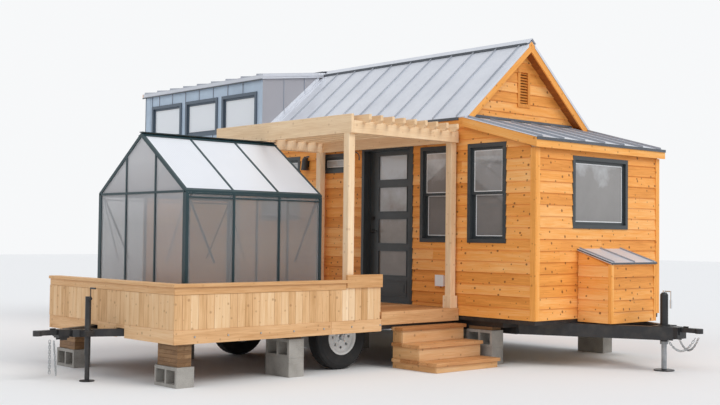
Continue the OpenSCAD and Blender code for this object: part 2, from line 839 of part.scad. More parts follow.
// Trailer under the house: two long beams, side channels and cross members in one welded frame
channel_h = 65;
frame_x0 = 60;
frame_y0 = 520;
frame_y1 = back_y - 60;
wells_y0 = axle_y - well_r - 40;
wells_y1 = axle_y + axle_pitch + well_r + 40;
module house_beams() {
    n = floor((frame_y1 - frame_y0 - beam_w) / cross_pitch);
    pitch = (frame_y1 - frame_y0 - beam_w) / n;
    g = joint_gap;
    z0 = beam_top - channel_h;
    in_x0 = beam_inset + beam_w + g;
    placed() color("#2A2A2C") {
        for (x = [beam_inset, house_w - beam_inset - beam_w])
            block([x, frame_y0, beam_z], [x + beam_w, frame_y1, beam_top]);
        for (i = [0:n])
            block([in_x0, frame_y0 + i * pitch, z0],
                [house_w - in_x0, frame_y0 + i * pitch + beam_w, beam_top]);
        for (m = [0, 1]) translate([m * house_w, 0, 0]) mirror([m, 0, 0])
            difference() {
                union() {
                    block([frame_x0, frame_y0, z0], [frame_x0 + beam_w, frame_y1, beam_top]);
                    for (i = [0:n])
                        block([frame_x0, frame_y0 + i * pitch, z0],
                            [beam_inset - g, frame_y0 + i * pitch + beam_w, beam_top]);
                }
                block([0, wells_y0, 0], [beam_inset, wells_y1, beam_top + 1]);
            }
    }
}

// Tongue: two beams that meet under the coupler, a jack plate and a plate at the tip
jack_y = -882;
jack_tube_r = 45;
coupler_r = 34;
module coupler(l) {
    difference() {
        union() {
            block([-60, 0, -40], [60, 110, 35]);
            block([-38, -l + 40, -8], [38, 0, 42]);
            translate([0, -l + 45, -12]) cylinder(h = 54, r = 45);
            block([-10, -70, 42], [10, -15, 58]);
        }
        translate([0, -l + 45, -13]) cylinder(h = 35, r = coupler_r - 6);
    }
    for (x = [-52, 44]) block([x, 20, -62], [x + 8, 90, -39]);
}
module tongue_beam(l, w, h) { translate([-w / 2, 0, 0]) cube([w, l, h]); }
module house_tongue() {
    g = joint_gap;
    l = (tongue_len + frame_y0 - 10) / cos(tongue_angle);
    head_y0 = -tongue_len + 40;
    head_y1 = -tongue_len + 170;
    placed() color("#2A2A2C") {
        for (m = [0, 1]) translate([m * house_w, 0, 0]) mirror([m, 0, 0])
            difference() {
                intersection() {
                    translate([mid_x, -tongue_len, beam_z]) rotate([0, 0, tongue_angle])
                        tongue_beam(l + 200, beam_w, beam_h);
                    block([0, -tongue_len, 0], [mid_x - g / 2, frame_y0 - g, beam_top]);
                }
                block([mid_x - 90 - g, -far, 0], [mid_x + 90 + g, head_y1 + g, beam_top + 1]);
            }
        block([mid_x - 90, head_y0, beam_z + 20], [mid_x + 90, head_y1, beam_top]);
        translate([mid_x, -tongue_len + 30, beam_top - 45]) coupler(coupler_l);
        difference() {
            block([mid_x - 150, jack_y - 70, beam_top + g], [mid_x + 150, jack_y + 70, beam_top + 8]);
            translate([mid_x, jack_y, 0]) cylinder(h = far, r = jack_tube_r + g);
        }
    }
}

// Two dropped axles on leaf springs
spring_l = 640;
spindle_r = 24;
wheel_out = 60;
drop = 100;
module leaf_spring(l, z0) {
    for (i = [0:2])
        translate([0, -l / 2 * (1 - 0.22 * i), z0 + i * 8]) cube([45, l * (1 - 0.22 * i), 8]);
    for (y = [-l / 2, l / 2 - 30])
        translate([-6, y, z0 + 4]) cube([57, 30, beam_z - joint_gap - z0 - 4]);
}
module house_axles() {
    axle_z = hub_z - drop;
    x0 = tyre_w - 40;
    placed() color("#2A2A2C")
    for (i = [0:1]) translate([0, axle_y + i * axle_pitch, 0]) {
        block([x0, -38, axle_z - 38], [house_w - x0, 38, axle_z + 38]);
        for (x = [beam_inset + 15, house_w - beam_inset - 60]) translate([x, 0, 0])
            leaf_spring(spring_l, axle_z + 38 + joint_gap);
        for (x = [x0, house_w - x0 - 26]) block([x, -45, axle_z - 38], [x + 26, 45, hub_z + 45]);
        for (m = [0, 1]) translate([m * house_w, 0, hub_z]) mirror([m, 0, 0])
            translate([25 - wheel_out, 0, 0]) rotate([0, 90, 0])
                cylinder(h = x0 + wheel_out, r = spindle_r - joint_gap);
    }
}

// A tyre and a rim that turn about X, with the outer face at x = 0
module tyre(r, w, hole_r) {
    shoulder = 28;
    rotate([0, 90, 0])
    rotate_extrude($fn = 72)
        polygon([[hole_r, 14], [hole_r + 18, 4], [r - shoulder * 1.6, 0], [r - 10, shoulder * 0.7],
            [r, shoulder * 1.3], [r, w - shoulder * 1.3], [r - 10, w - shoulder * 0.7],
            [r - shoulder * 1.6, w], [hole_r + 18, w - 4], [hole_r, w - 14]]);
}
rim_holes = 8;
module rim(r, w, bore_r) {
    rotate([0, 90, 0])
    difference() {
        rotate_extrude($fn = 72)
            polygon([[bore_r, 30], [62, 30], [74, 44], [r - 42, 30], [r - 22, 12], [r - 4, 8], [r, 14],
                [r, w - 14], [r - 10, w - 14], [r - 14, 60], [r - 34, 52], [74, 66], [bore_r, 66]]);
        for (i = [0:rim_holes - 1])
            rotate(i * 360 / rim_holes) translate([r * 0.58, 0, 0]) cylinder(h = w, r = 16, $fn = 24);
    }
}
module house_wheel_places() {
    for (m = [0, 1]) for (i = [0:1])
        translate([m * house_w, axle_y + i * axle_pitch, hub_z]) mirror([m, 0, 0])
            translate([-wheel_out, 0, 0]) children();
}
module house_tyres() { placed() color("#1E1E1F") house_wheel_places() tyre(tyre_r, tyre_w, rim_r); }
module house_rims() { placed() color("#E6E6E4") house_wheel_places() rim(rim_r, tyre_w, spindle_r); }
fender_t = 5;
module house_fenders() {
    placed() color("#1F1F21")
    for (m = [0, 1]) translate([m * house_w, 0, 0]) mirror([m, 0, 0])
        difference() {
            along_x(-fender_lip, well_in) well_profile(well_r);
            along_x(-fender_lip - 1, well_in - fender_t) well_profile(well_r - fender_t);
            block([-fender_lip - 1, 0, 0], [well_in - fender_t, far, beam_top + 1]);
        }
}

// Jacks with a round outer tube, a sliding leg and a round foot
leg_r = 30;
jack_low = 300;
jack_high = 860;
jack_pin_r = 7;
module house_jack() {
    placed() color("#252527")
    translate([mid_x, jack_y, 0]) {
        translate([0, 0, jack_low]) cylinder(h = jack_high - jack_low, r = jack_tube_r);
        cylinder(h = jack_low + 10, r = leg_r);
        cylinder(h = 12, r = 115);
        translate([0, 0, beam_top + 8]) cylinder(h = 10, r = jack_tube_r + 22);
        translate([0, 0, jack_high]) cylinder(h = 24, r1 = jack_tube_r, r2 = 26);
        translate([0, 0, jack_high + 24]) cylinder(h = 8, r = jack_pin_r);
    }
}
crank_r = 7;
module house_jack_crank() {
    reach = 88;
    placed() color("#C8CACC")
    translate([mid_x, jack_y, jack_high + 37])
        difference() {
            union() {
                translate([0, 0, -8]) cylinder(h = 18, r = 16);
                rotate([90, 0, 0]) cylinder(h = reach, r = crank_r);
                translate([0, -reach, -190]) cylinder(h = 197, r = crank_r);
                translate([0, -reach, -190]) cylinder(h = 95, r = 12);
            }
            translate([0, 0, -9]) cylinder(h = 4.5, r = jack_pin_r + pin_gap);
        }
}

// Hollow concrete blocks, with the cores along X or upright
cmu = [200, 400, 200];
cmu_shell = 32;
cmu_web = 28;
module cmu_block(cores_up) {
    side = cmu_shell + 6;
    core_w = cmu[0] - 2 * cmu_shell;
    core_l = (cmu[1] - 2 * side - cmu_web) / 2;
    difference() {
        cube(cmu);
        for (i = [0:1]) {
            y = side + i * (core_l + cmu_web);
            if (cores_up) translate([cmu_shell, y, -1]) cube([core_w, core_l, cmu[2] + 2]);
            else translate([-1, y, cmu_shell]) cube([cmu[0] + 2, core_l, core_w]);
        }
    }
}
module pier(top, timber_h) {
    n = floor((top - timber_h) / cmu[2]);
    for (i = [0:n - 1]) translate([0, 0, i * cmu[2]]) cmu_block(i == 0 && n > 1);
    translate([20, 20, n * cmu[2]]) cube([cmu[0] - 40, cmu[1] - 40, top - n * cmu[2]]);
}
front_pier = 660;
wheel_pier = 3000;
back_pier = 900;
house_pier_y = [front_pier, wheel_pier, back_y - back_pier];
module house_piers() {
    top = beam_top - channel_h;
    placed() color("#A8A49D")
    for (m = [0, 1]) translate([m * house_w, 0, 0]) mirror([m, 0, 0])
        for (y = house_pier_y) translate([30, y, 0]) pier(top, 30);
}

// Porch trailer, drawn about the middle of its width
porch_beam_top = porch_beam_z + porch_beam_h;
main_beam_y = porch_w / 2 - wheel_inset - tyre_w - 60;
edge_beam_y = porch_w / 2 - 72;
porch_tongue_h = 75;
porch_hub_y = porch_w / 2 - wheel_inset;
porch_spring_l = 560;
module in_porch() { translate([0, porch_mid_y, 0]) children(); }
module porch_frame() {
    x0 = porch_x0 + 60;
    x1 = porch_x1 - 60;
    clear = tyre_r + 70;
    head_x = porch_apex_x + 150;
    g = joint_gap;
    placed() color("#2A2A2C")
    in_porch() {
        for (s = [-1, 1]) {
            block_mid(x0, x1, s * main_beam_y, 60);
            block_mid(x0, x1, s * edge_beam_y, 50);
        }
        for (x = [x0, (x0 + porch_axle) / 2, porch_axle - clear - 50, porch_axle + clear, x1 - 50]) {
            block([x, -main_beam_y + 30 + g, porch_beam_z], [x + 50, main_beam_y - 30 - g, porch_beam_top]);
            for (s = [0, 1]) mirror([0, s, 0])
                block([x, main_beam_y + 30 + g, porch_beam_z], [x + 50, edge_beam_y - 25 - g, porch_beam_top]);
        }
        for (s = [-1, 1])
            difference() {
                union() {
                    intersection() {
                        translate([porch_apex_x, 0, porch_beam_z]) rotate([0, 0, -90 + s * 25])
                            tongue_beam(2 * porch_nose_l, porch_tongue_h, porch_tongue_h);
                        block([head_x + g, min(s * g / 2, s * far), 0], [x0 - g, max(s * g / 2, s * far), far]);
                    }
                    if (s == -1)
                        block([porch_jack_x - 50, porch_jack_y - 50, porch_beam_z + 10],
                            [porch_jack_x + 50, porch_jack_y + 100, porch_beam_z + porch_tongue_h - 10]);
                }
                translate([porch_jack_x, porch_jack_y, 0]) cylinder(h = far, r = jack_r + g);
            }
        block([porch_apex_x + 20, -70, porch_beam_z + 5], [head_x, 70, porch_beam_z + porch_tongue_h]);
        translate([porch_apex_x + 30, 0, porch_beam_z + porch_tongue_h - 45])
            rotate([0, 0, -90]) coupler(coupler_l);
        block([porch_axle - 38, -porch_hub_y + tyre_w + 20, hub_z - 38],
            [porch_axle + 38, porch_hub_y - tyre_w - 20, hub_z + 38]);
        for (s = [-1, 1])
            translate([porch_axle, s * porch_hub_y, hub_z]) rotate([s * 90, 0, 0]) {
                translate([0, 0, 30]) cylinder(h = tyre_w + 10, r = spindle_r - pin_gap);
            }
        for (s = [-1, 1]) translate([porch_axle, s * main_beam_y - 22, 0])
            porch_spring(porch_spring_l, hub_z + 38 + g);
    }
}
module block_mid(x0, x1, y, w) { block([x0, y - w / 2, porch_beam_z], [x1, y + w / 2, porch_beam_top]); }
module porch_spring(l, z0) {
    for (i = [0:2])
        translate([-l / 2 * (1 - 0.22 * i), 0, z0 + i * 8]) cube([l * (1 - 0.22 * i), 45, 8]);
    for (x = [-l / 2, l / 2 - 30])
        translate([x, 0, z0 + 4]) cube([30, 45, porch_beam_z - joint_gap - z0 - 4]);
}

// Porch wheels turn on the axle's ends; their outer faces look away from the porch's middle
module porch_wheel(s) {
    translate([porch_axle, porch_mid_y + s * porch_hub_y, hub_z]) rotate([0, 0, -s * 90]) children();
}
module porch_tyre_near() { placed() color("#1E1E1F") porch_wheel(-1) tyre(tyre_r, tyre_w, rim_r); }
module porch_rim_near() { placed() color("#E6E6E4") porch_wheel(-1) rim(rim_r, tyre_w, spindle_r); }
module porch_tyre_far() { placed() color("#1E1E1F") porch_wheel(1) tyre(tyre_r, tyre_w, rim_r); }
module porch_rim_far() { placed() color("#E6E6E4") porch_wheel(1) rim(rim_r, tyre_w, spindle_r); }

// Jack bolted to the near tongue beam, with a crank that turns about a level axis
jack_r = 30;
porch_jack_out = 330;
porch_jack_x = porch_x0 - porch_jack_out;
porch_jack_y = -215;
porch_crank_z = 830;
porch_jack_low = 260;
porch_pin_r = 8;
module porch_jack() {
    placed() color("#252527")
    in_porch() translate([porch_jack_x, porch_jack_y, 0]) {
        translate([0, 0, porch_jack_low]) cylinder(h = porch_crank_z + 20 - porch_jack_low, r = jack_r);
        cylinder(h = porch_jack_low + 10, r = 24);
        cylinder(h = 10, r = 75);
        translate([0, 0, porch_beam_z + porch_tongue_h - 9.5]) cylinder(h = 12, r = jack_r + 15);
        translate([0, 0, porch_crank_z]) rotate([90, 0, 0]) cylinder(h = 44, r = porch_pin_r);
    }
}
module porch_jack_crank() {
    reach = 105;
    placed() color("#252527")
    in_porch() translate([porch_jack_x, porch_jack_y - 36, porch_crank_z]) {
        difference() {
            union() {
                rotate([90, 0, 0]) cylinder(h = 14, r = 17);
                translate([0, -9, 0]) cylinder(h = reach, r = 5);
            }
            translate([0, 1, 0]) rotate([90, 0, 0]) cylinder(h = 9.5, r = porch_pin_r + pin_gap);
        }
        translate([0, -9, reach]) rotate([90, 0, 0]) cylinder(h = 95, r = 9);
    }
}

end_pier = 70;
middle_pier = 1440;
house_end_pier = 420;
porch_pier_x = [porch_x0 + end_pier, porch_x0 + middle_pier, porch_x1 - house_end_pier];
module porch_piers() {
    top = porch_beam_z;
    placed() color("#A8A49D")
    in_porch()
        for (s = [0, 1]) mirror([0, s, 0])
            for (x = porch_pier_x)
                translate([x, -edge_beam_y - 15, 0]) pier(top, x == porch_pier_x[0] ? 190 : 0);
}

// Deck boards over joists, cut out over the wheels
joist_z = porch_beam_top;
arch_gap = 25;
arch_t = 20;
module wheel_arches(r, side) {
    in_porch() for (s = [-1, 1])
        translate([porch_axle, s * (porch_hub_y - tyre_w / 2), hub_z])
            rotate([90, 0, 0]) cylinder(h = tyre_w + 2 * side, r = r, center = true);
}
module porch_deck() {
    placed() color("#C89A66")
    difference() {
        block([porch_x0 + facing_t, wall_y, joist_z], [porch_x1, porch_y1 - facing_t, deck_z]);
        wheel_arches(tyre_r + arch_gap, arch_gap);
    }
}
module porch_fenders() {
    placed() color("#B07A48")
    difference() {
        wheel_arches(tyre_r + arch_gap + arch_t, arch_gap + arch_t);
        wheel_arches(tyre_r + arch_gap, arch_gap);
        block([porch_x0, porch_y, -far], [porch_x1, porch_y1, deck_z]);
    }
}

// Boards that close the porch's sides below the deck
module porch_skirt() {
    z0 = skirt_z;
    z1 = boards_z;
    notch = porch_tongue_h + 90;
    at_skirt = porch_nose_l * tan(25);
    placed() color("#D9A873") {
        block([porch_x0, porch_y, z0], [planter_x1, wall_y, z1]);
        block([planter_x1 + joint_gap, porch_y, joist_z - 50], [porch_x1, wall_y, deck_z]);
        block([porch_x0, porch_y1 - facing_t, z0], [porch_x1, porch_y1, z1]);
        difference() {
            block([porch_x0, wall_y + joint_gap, z0], [porch_x0 + facing_t, porch_y1 - facing_t - joint_gap, z1]);
            in_porch() for (s = [-1, 1])
                block([porch_x0 - 1, s * at_skirt - notch / 2, 0],
                    [porch_x0 + facing_t + 1, s * at_skirt + notch / 2, porch_beam_z + porch_tongue_h + 5]);
        }
    }
}

// Planter round the greenhouse: outer walls, inner walls and an end
inner_t = 30;
inner_gap = 40;
inner_y = gh_y0 - inner_gap - inner_t;
inner_x = gh_x0 - inner_gap - inner_t;
inner_top = rail_top - 60;
module planter_walls() {
    g = joint_gap;
    xo = porch_x0 + facing_t;
    placed() color("#DDB587") {
        block([xo, wall_y, deck_z + g], [planter_x1 - planter_t - g, trough_y, rail_top]);
        block([xo, trough_y + g, deck_z + g], [xo + planter_t, porch_y1 - facing_t, rail_top]);
        block([inner_x, inner_y, deck_z], [planter_x1 - planter_t - g, inner_y + inner_t, inner_top]);
        block([inner_x, inner_y + inner_t + g, deck_z],
            [inner_x + inner_t, porch_y1 - facing_t, inner_top]);
        block([planter_x1 - planter_t, wall_y, deck_z], [planter_x1, inner_y + inner_t, rail_top]);
    }
}

// Rail boards under the cap, with a taller board at the planter's end
tall_l = 525;
tall_h = 143;
tall_x0 = planter_x1 - tall_l;
tall_z = cap_top + 56 - tall_h;
module planter_rails() {
    z0 = rail_top - rail_board_h;
    placed() color("#D9A873") {
        block([porch_x0, porch_y, z0], [tall_x0 - joint_gap, wall_y, rail_top]);
        block([porch_x0, wall_y + joint_gap, z0], [porch_x0 + facing_t, porch_y1 - joint_gap, rail_top]);
        block([tall_x0, porch_y - 16, tall_z], [planter_x1, wall_y, tall_z + tall_h]);
    }
}
cap_out = 20;
cap_w_planter = 110;
module planter_caps() {
    y1 = porch_y + cap_w_planter;
    placed() color("#E3BC8C") {
        difference() {
            block([porch_x0 - cap_out, porch_y - cap_out, rail_top], [tall_x0 - joint_gap, y1, cap_top]);
            post_at(pergola_x0, post_y) grown_post();
        }
        block([porch_x0 - cap_out, y1 + joint_gap, rail_top],
            [porch_x0 + cap_w_planter, porch_y1, cap_top]);
        difference() {
            block([tall_x0, wall_y + joint_gap, rail_top], [planter_x1, y1 + 20, cap_top]);
            post_at(pergola_x0, post_y) grown_post();
        }
    }
}
module grown_post() {
    translate([-joint_gap, -joint_gap, 0]) cube([post_w + 2 * joint_gap, post_w + 2 * joint_gap, far]);
}

// Pergola posts, with a collar round the one by the steps
module post_at(x, y) { translate([x, y, 0]) children(); }
back_post_x = gh_x1 + 15;
back_post_y = porch_y1 - facing_t - post_w - 1;
collar_w = 125;
collar_h = 147;
module pergola_posts() {
    placed() color("#E8C79A")
    for (x = [pergola_x0, pergola_x1 - post_w], y = [post_y, back_post_y]) {
        at_x = y == back_post_y && x == pergola_x0 ? back_post_x : x;
        block([at_x, y, deck_z], [at_x + post_w, y + post_w, beam_bottom]);
        if (x != pergola_x0 && y == post_y)
            block([at_x - 18, y - 18, deck_z], [at_x + post_w + 18, y + post_w + 18, deck_z + collar_h]);
    }
}
side_beam_t = 38;
beam_y0 = post_y - 38;
back_beam_y = porch_y1 - post_w;
pergola_beam_top = beam_bottom + pergola_beam_h;
rafter_z = pergola_beam_top - rafter_notch;
module pergola_beams() {
    g = joint_gap;
    x0 = pergola_x0 + side_beam_t + g;
    placed() color("#EACFA6") {
        block([x0, beam_y0, beam_bottom], [pergola_x1, beam_y0 + post_w, pergola_beam_top]);
        block([x0, back_beam_y, beam_bottom], [pergola_x1, porch_y1, pergola_beam_top]);
        block([pergola_x0, beam_y0, beam_bottom], [pergola_x0 + side_beam_t, porch_y1, rafter_z + rafter_h]);
        block([pergola_x1 - side_beam_t, beam_y0 + post_w + g, beam_bottom],
            [pergola_x1, back_beam_y - g, pergola_beam_top]);
    }
}

// Rafters notched over the beams, with tails cut back at the underside
module pergola_rafters() {
    first = pergola_x0 + side_beam_t + 130;
    last = pergola_x1 - 150;
    y0 = beam_y0 - tail_len;
    cut = 30;
    placed() color("#EACFA6")
    for (i = [0:rafter_n - 1]) {
        x = first + i * (last - first) / (rafter_n - 1);
        difference() {
            along_x(x, x + rafter_t)
                polygon([[y0, rafter_z + cut], [y0 + cut, rafter_z], [porch_y1 + 20, rafter_z],
                    [porch_y1 + 20, rafter_z + rafter_h], [y0, rafter_z + rafter_h]]);
            for (y = [beam_y0, back_beam_y])
                block([x - 1, y, 0], [x + rafter_t + 1, y + post_w, pergola_beam_top]);
        }
    }
}

// Bracket for a hanging basket, bent from round bar, on the front post
module plant_hook() {
    bar = 8;
    arm = 120;
    placed() color("#3A3A3A")
    translate([pergola_x0 + post_w + joint_gap, post_y + post_w / 2, beam_bottom - 260])
        rotate([90, 0, 0]) linear_extrude(bar) {
            translate([0, -60]) square([bar, 120]);
            difference() {
                translate([arm / 2, 0]) circle(arm / 2);
                translate([arm / 2, 0]) circle(arm / 2 - bar);
                translate([-1, -arm]) square([arm + 2, arm]);
            }
            translate([arm - bar, -30]) square([bar, 31]);
        }
}

// Greenhouse sides: flat lattices of square bars that bolt together at their edges
sole_bar = 40;
head_bar = 17;
thin_bar = 14;
tie_bar = 25;
gable_bar = 22;
ridge_bar = 45;
rail_top_h = gh_eave_h - 68;
module gh_side(l) {
    bar = gh_bar;
    top = gh_eave_h - roof_bar_v - joint_gap;
    block([0, 0, 0], [gh_post, gh_post, top]);
    block([l - gh_post, 0, 0], [l, gh_post, top]);
    block([0, 0, 0], [l, gh_post, sole_bar]);
    block([0, 0, top - head_bar], [l, gh_post, top]);
    block([0, 0, rail_top_h - thin_bar], [l, bar, rail_top_h]);
    for (i = [1:gh_bays - 1])
        block([i * l / gh_bays - bar / 2, 0, 0], [i * l / gh_bays + bar / 2, bar, top]);
}
gh_slope = (gh_ridge_h - gh_eave_h) / (gh_w / 2);
module gh_end() {
    l = gh_w - 2 * gh_post - 2 * joint_gap;
    half = gh_w / 2;
    bar = gh_bar;
    e = gh_post + joint_gap;
    intersection() {
        union() {
            block([0, e, 0], [gh_post, e + l, sole_bar]);
            block([0, e, gh_eave_h - 2 - tie_bar], [gh_post, e + l, gh_eave_h - 2]);
            for (i = [1:gh_bays - 1])
                block([0, i * gh_w / gh_bays - bar / 2, 0], [bar, i * gh_w / gh_bays + bar / 2, gh_ridge_h]);
            block([0, e, 0], [bar, e + 20, gh_eave_h - 2]);
            block([0, e + l - 20, 0], [bar, e + l, gh_eave_h - 2]);
            along_x(0, gh_post) gable_band();
        }
        along_x(-1, gh_post + 1)
            polygon([[e, 0], [gh_w - e, 0], [gh_w - e, gh_end_top(e)], [half, gh_end_top(half)],
                [e, gh_end_top(e)]]);
    }
}
function gh_end_top(y) = gh_eave_h + y * gh_slope - roof_bar_v - 1;
roof_bar = 20;
roof_bar_v = roof_bar * sqrt(1 + gh_slope * gh_slope);
module gable_band() {
    e = gh_post + joint_gap;
    half = gh_w / 2;
    w = gable_bar;
    polygon([[e, gh_end_top(e) - w], [half, gh_end_top(half) - w], [gh_w - e, gh_end_top(e) - w],
        [gh_w - e, gh_end_top(e)], [half, gh_end_top(half)], [e, gh_end_top(e)]]);
}

// One roof slope: a lattice of bars along the slope, drawn over a profile in Y and Z
module gh_slope_profile(y0, y1, drop0, drop1) {
    polygon([[y0, slope_z(y0) - drop1], [y1, slope_z(y1) - drop1], [y1, slope_z(y1) - drop0],
        [y0, slope_z(y0) - drop0]]);
}
function slope_z(y) = gh_eave_h + y * gh_slope;
module gh_roof_lattice() {
    half = gh_w / 2 - joint_gap / 2;
    bar = gh_bar;
    for (i = [0:gh_bays]) {
        x = min(max(i * gh_w / gh_bays - bar / 2, 0), gh_w - bar);
        along_x(x, x + bar) gh_slope_profile(0, half, 0, roof_bar_v);
    }
    along_x(0, gh_w) gh_slope_profile(0, 30, 0, roof_bar_v);
    along_x(0, gh_w) gh_slope_profile(half - ridge_bar, half, 0, roof_bar_v);
}

// The end wall is cut round the wheel arch that comes up through the deck
module round_the_arches() {
    g = arch_gap + arch_t + joint_gap;
    difference() {
        translate([gh_x0, gh_y0, deck_z]) children();
        wheel_arches(tyre_r + g, g);
    }
}
module greenhouse_frame() {
    placed() color("#1F3D3A")
    round_the_arches() {
        gh_side(gh_w);
        translate([0, gh_w, 0]) mirror([0, 1, 0]) gh_side(gh_w);
        gh_end();
        translate([gh_w, 0, 0]) mirror([1, 0, 0]) gh_end();
        gh_roof_lattice();
        translate([0, gh_w, 0]) mirror([0, 1, 0]) gh_roof_lattice();
    }
}

// Panels between the bars
module bay(x0, x1, z0, z1) { block([x0, (gh_bar - gh_panel_t) / 2, z0], [x1, (gh_bar + gh_panel_t) / 2, z1]); }
module gh_side_panels(l) {
    for (i = [0:gh_bays - 1]) {
        x0 = seat_gap + (i == 0 ? gh_post : i * l / gh_bays + gh_bar / 2);
        x1 = (i == gh_bays - 1 ? l - gh_post : (i + 1) * l / gh_bays - gh_bar / 2) - seat_gap;
        bay(x0, x1, sole_bar, rail_top_h - thin_bar);
        bay(x0, x1, rail_top_h, gh_eave_h - roof_bar_v - joint_gap - head_bar - seat_gap);
    }
}
module gh_end_panels() {
    e = gh_post + joint_gap + 20;
    p0 = (gh_bar - gh_panel_t) / 2;
    w = gable_bar + seat_gap;
    for (i = [0:gh_bays - 1]) {
        y0 = seat_gap + (i == 0 ? e : i * gh_w / gh_bays + gh_bar / 2);
        y1 = (i == gh_bays - 1 ? gh_w - e : (i + 1) * gh_w / gh_bays - gh_bar / 2) - seat_gap;
        block([p0, y0, sole_bar], [p0 + gh_panel_t, y1, gh_eave_h - 2 - tie_bar]);
        intersection() {
            block([p0, y0, gh_eave_h - 2], [p0 + gh_panel_t, y1, gh_ridge_h]);
            along_x(-1, gh_post)
                polygon([[0, gh_end_top(0) - w], [gh_w / 2, gh_end_top(gh_w / 2) - w],
                    [gh_w, gh_end_top(0) - w], [gh_w, 0], [0, 0]]);
        }
    }
}
module greenhouse_walls() {
    placed() color("#B9BCC0", 0.6)
    round_the_arches() {
        gh_side_panels(gh_w);
        translate([0, gh_w, 0]) mirror([0, 1, 0]) gh_side_panels(gh_w);
        gh_end_panels();
        translate([gh_w, 0, 0]) mirror([1, 0, 0]) gh_end_panels();
    }
}
module gh_roof_panels() {
    half = gh_w / 2 - joint_gap / 2;
    for (i = [0:gh_bays - 1]) {
        x0 = i == 0 ? gh_bar : i * gh_w / gh_bays + gh_bar / 2;
        x1 = i == gh_bays - 1 ? gh_w - gh_bar : (i + 1) * gh_w / gh_bays - gh_bar / 2;
        along_x(x0 + seat_gap, x1 - seat_gap)
            gh_slope_profile(30 + seat_gap, half - ridge_bar - seat_gap, 8, 8 + gh_panel_t);
    }
}
module greenhouse_roof() {
    placed() color("#EAECF2", 0.7)
    translate([gh_x0, gh_y0, deck_z]) {
        gh_roof_panels();
        translate([0, gh_w, 0]) mirror([0, 1, 0]) gh_roof_panels();
    }
}

// Steps: closed boxes stacked on one another, each under its tread
step_x1 = porch_x1 - 13;
step_x0 = step_x1 - step_w;
function tread_top(i) = deck_z - i * step_rise;
function nosing_y(i) = porch_y + tread_out - 167 - (i - 1) * step_run;
step_back = porch_mid_y - edge_beam_y - 25 - joint_gap;
module step_treads() {
    placed() color("#C98A50")
    for (i = [1:tread_n])
        block([step_x0, nosing_y(i), tread_top(i) - tread_t], [step_x1, step_back, tread_top(i)]);
}
module step_boxes() {
    t = 30;
    placed() color("#B9773F")
    for (i = [1:tread_n]) {
        z0 = i == tread_n ? 0 : tread_top(i + 1);
        x0 = step_x0 + tread_out;
        x1 = step_x1 - tread_out;
        y0 = nosing_y(i) + tread_out;
        difference() {
            block([x0, y0, z0], [x1, step_back, tread_top(i) - tread_t]);
            block([x0 + t, y0 + t, z0 - 1], [x1 - t, step_back - t, tread_top(i)]);
        }
    }
}

// Each piece is drawn once, in its place
house_beams();
house_tongue();
house_axles();
house_tyres();
house_rims();
house_fenders();
house_jack();
house_jack_crank();
house_piers();
floor();
left_wall_front();
left_wall_over_door();
left_wall_back();
right_wall();
back_wall();
lean_to_front_wall();
front_gable();
corner_boards();
roof_left();
roof_right();
ridge_cap();
roof_trim();
dormer_walls();
dormer_roof();
lean_to_roof();
gable_vent();
window_frames();
window_glass();
door_frame();
entry_door();
door_glass();
door_handle();
utility_box();
utility_box_lid();
wall_lamp();
outlet_box();
porch_frame();
porch_tyre_near();
porch_rim_near();
porch_tyre_far();
porch_rim_far();
porch_jack();
porch_jack_crank();
porch_piers();
porch_deck();
porch_fenders();
porch_skirt();
planter_walls();
planter_rails();
planter_caps();
pergola_posts();
pergola_beams();
pergola_rafters();
greenhouse_frame();
greenhouse_walls();
greenhouse_roof();
step_treads();
step_boxes();
plant_hook();
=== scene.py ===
import math
import random

import bmesh
import bpy
from mathutils import Matrix, Vector


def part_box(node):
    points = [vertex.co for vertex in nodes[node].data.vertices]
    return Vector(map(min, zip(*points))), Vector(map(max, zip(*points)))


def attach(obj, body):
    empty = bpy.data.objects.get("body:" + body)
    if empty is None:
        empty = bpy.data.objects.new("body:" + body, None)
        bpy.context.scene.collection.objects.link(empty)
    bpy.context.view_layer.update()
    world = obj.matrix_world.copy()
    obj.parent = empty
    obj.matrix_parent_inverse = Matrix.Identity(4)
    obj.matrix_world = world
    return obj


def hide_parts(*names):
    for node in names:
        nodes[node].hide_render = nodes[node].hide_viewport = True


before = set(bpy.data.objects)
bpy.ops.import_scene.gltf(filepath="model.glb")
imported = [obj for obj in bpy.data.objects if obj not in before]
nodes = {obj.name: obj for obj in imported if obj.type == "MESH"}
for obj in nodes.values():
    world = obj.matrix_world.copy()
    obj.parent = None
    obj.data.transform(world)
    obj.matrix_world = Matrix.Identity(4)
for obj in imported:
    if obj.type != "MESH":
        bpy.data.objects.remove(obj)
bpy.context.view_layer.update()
print("frame loaded:", len(nodes), "pieces")

# The house's own zero: outer face of its left wall, outer face of the lean-to wall, the ground
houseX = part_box("left_wall_back")[0][0]
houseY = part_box("lean_to_front_wall")[0][1]


def at(x, y, z):
    return Vector((houseX + x, houseY + y, z))


def boxOf(name):  # a CAD node's two corners in the house's own metres
    low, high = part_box(name)
    return Vector(low) - at(0, 0, 0), Vector(high) - at(0, 0, 0)


def linear(hexText):
    parts = [int(hexText[i:i + 2], 16) / 255 for i in (1, 3, 5)]
    return [c / 12.92 if c <= 0.04045 else ((c + 0.055) / 1.055) ** 2.4 for c in parts] + [1.0]


def addNode(tree, kind, settings=None):  # a socket is linked, any other value is set
    made = tree.nodes.new(kind if "Node" in kind else "ShaderNode" + kind)
    for key, value in (settings or {}).items():
        if isinstance(value, bpy.types.NodeSocket):
            tree.links.new(value, made.inputs[key])
        elif isinstance(key, int) or key in made.inputs:
            made.inputs[key].default_value = value
        else:
            setattr(made, key, value)
    return made


def calc(tree, operation, *parts):  # one sum on sockets and numbers
    return addNode(tree, "Math", {"operation": operation, **dict(enumerate(parts))}).outputs[0]


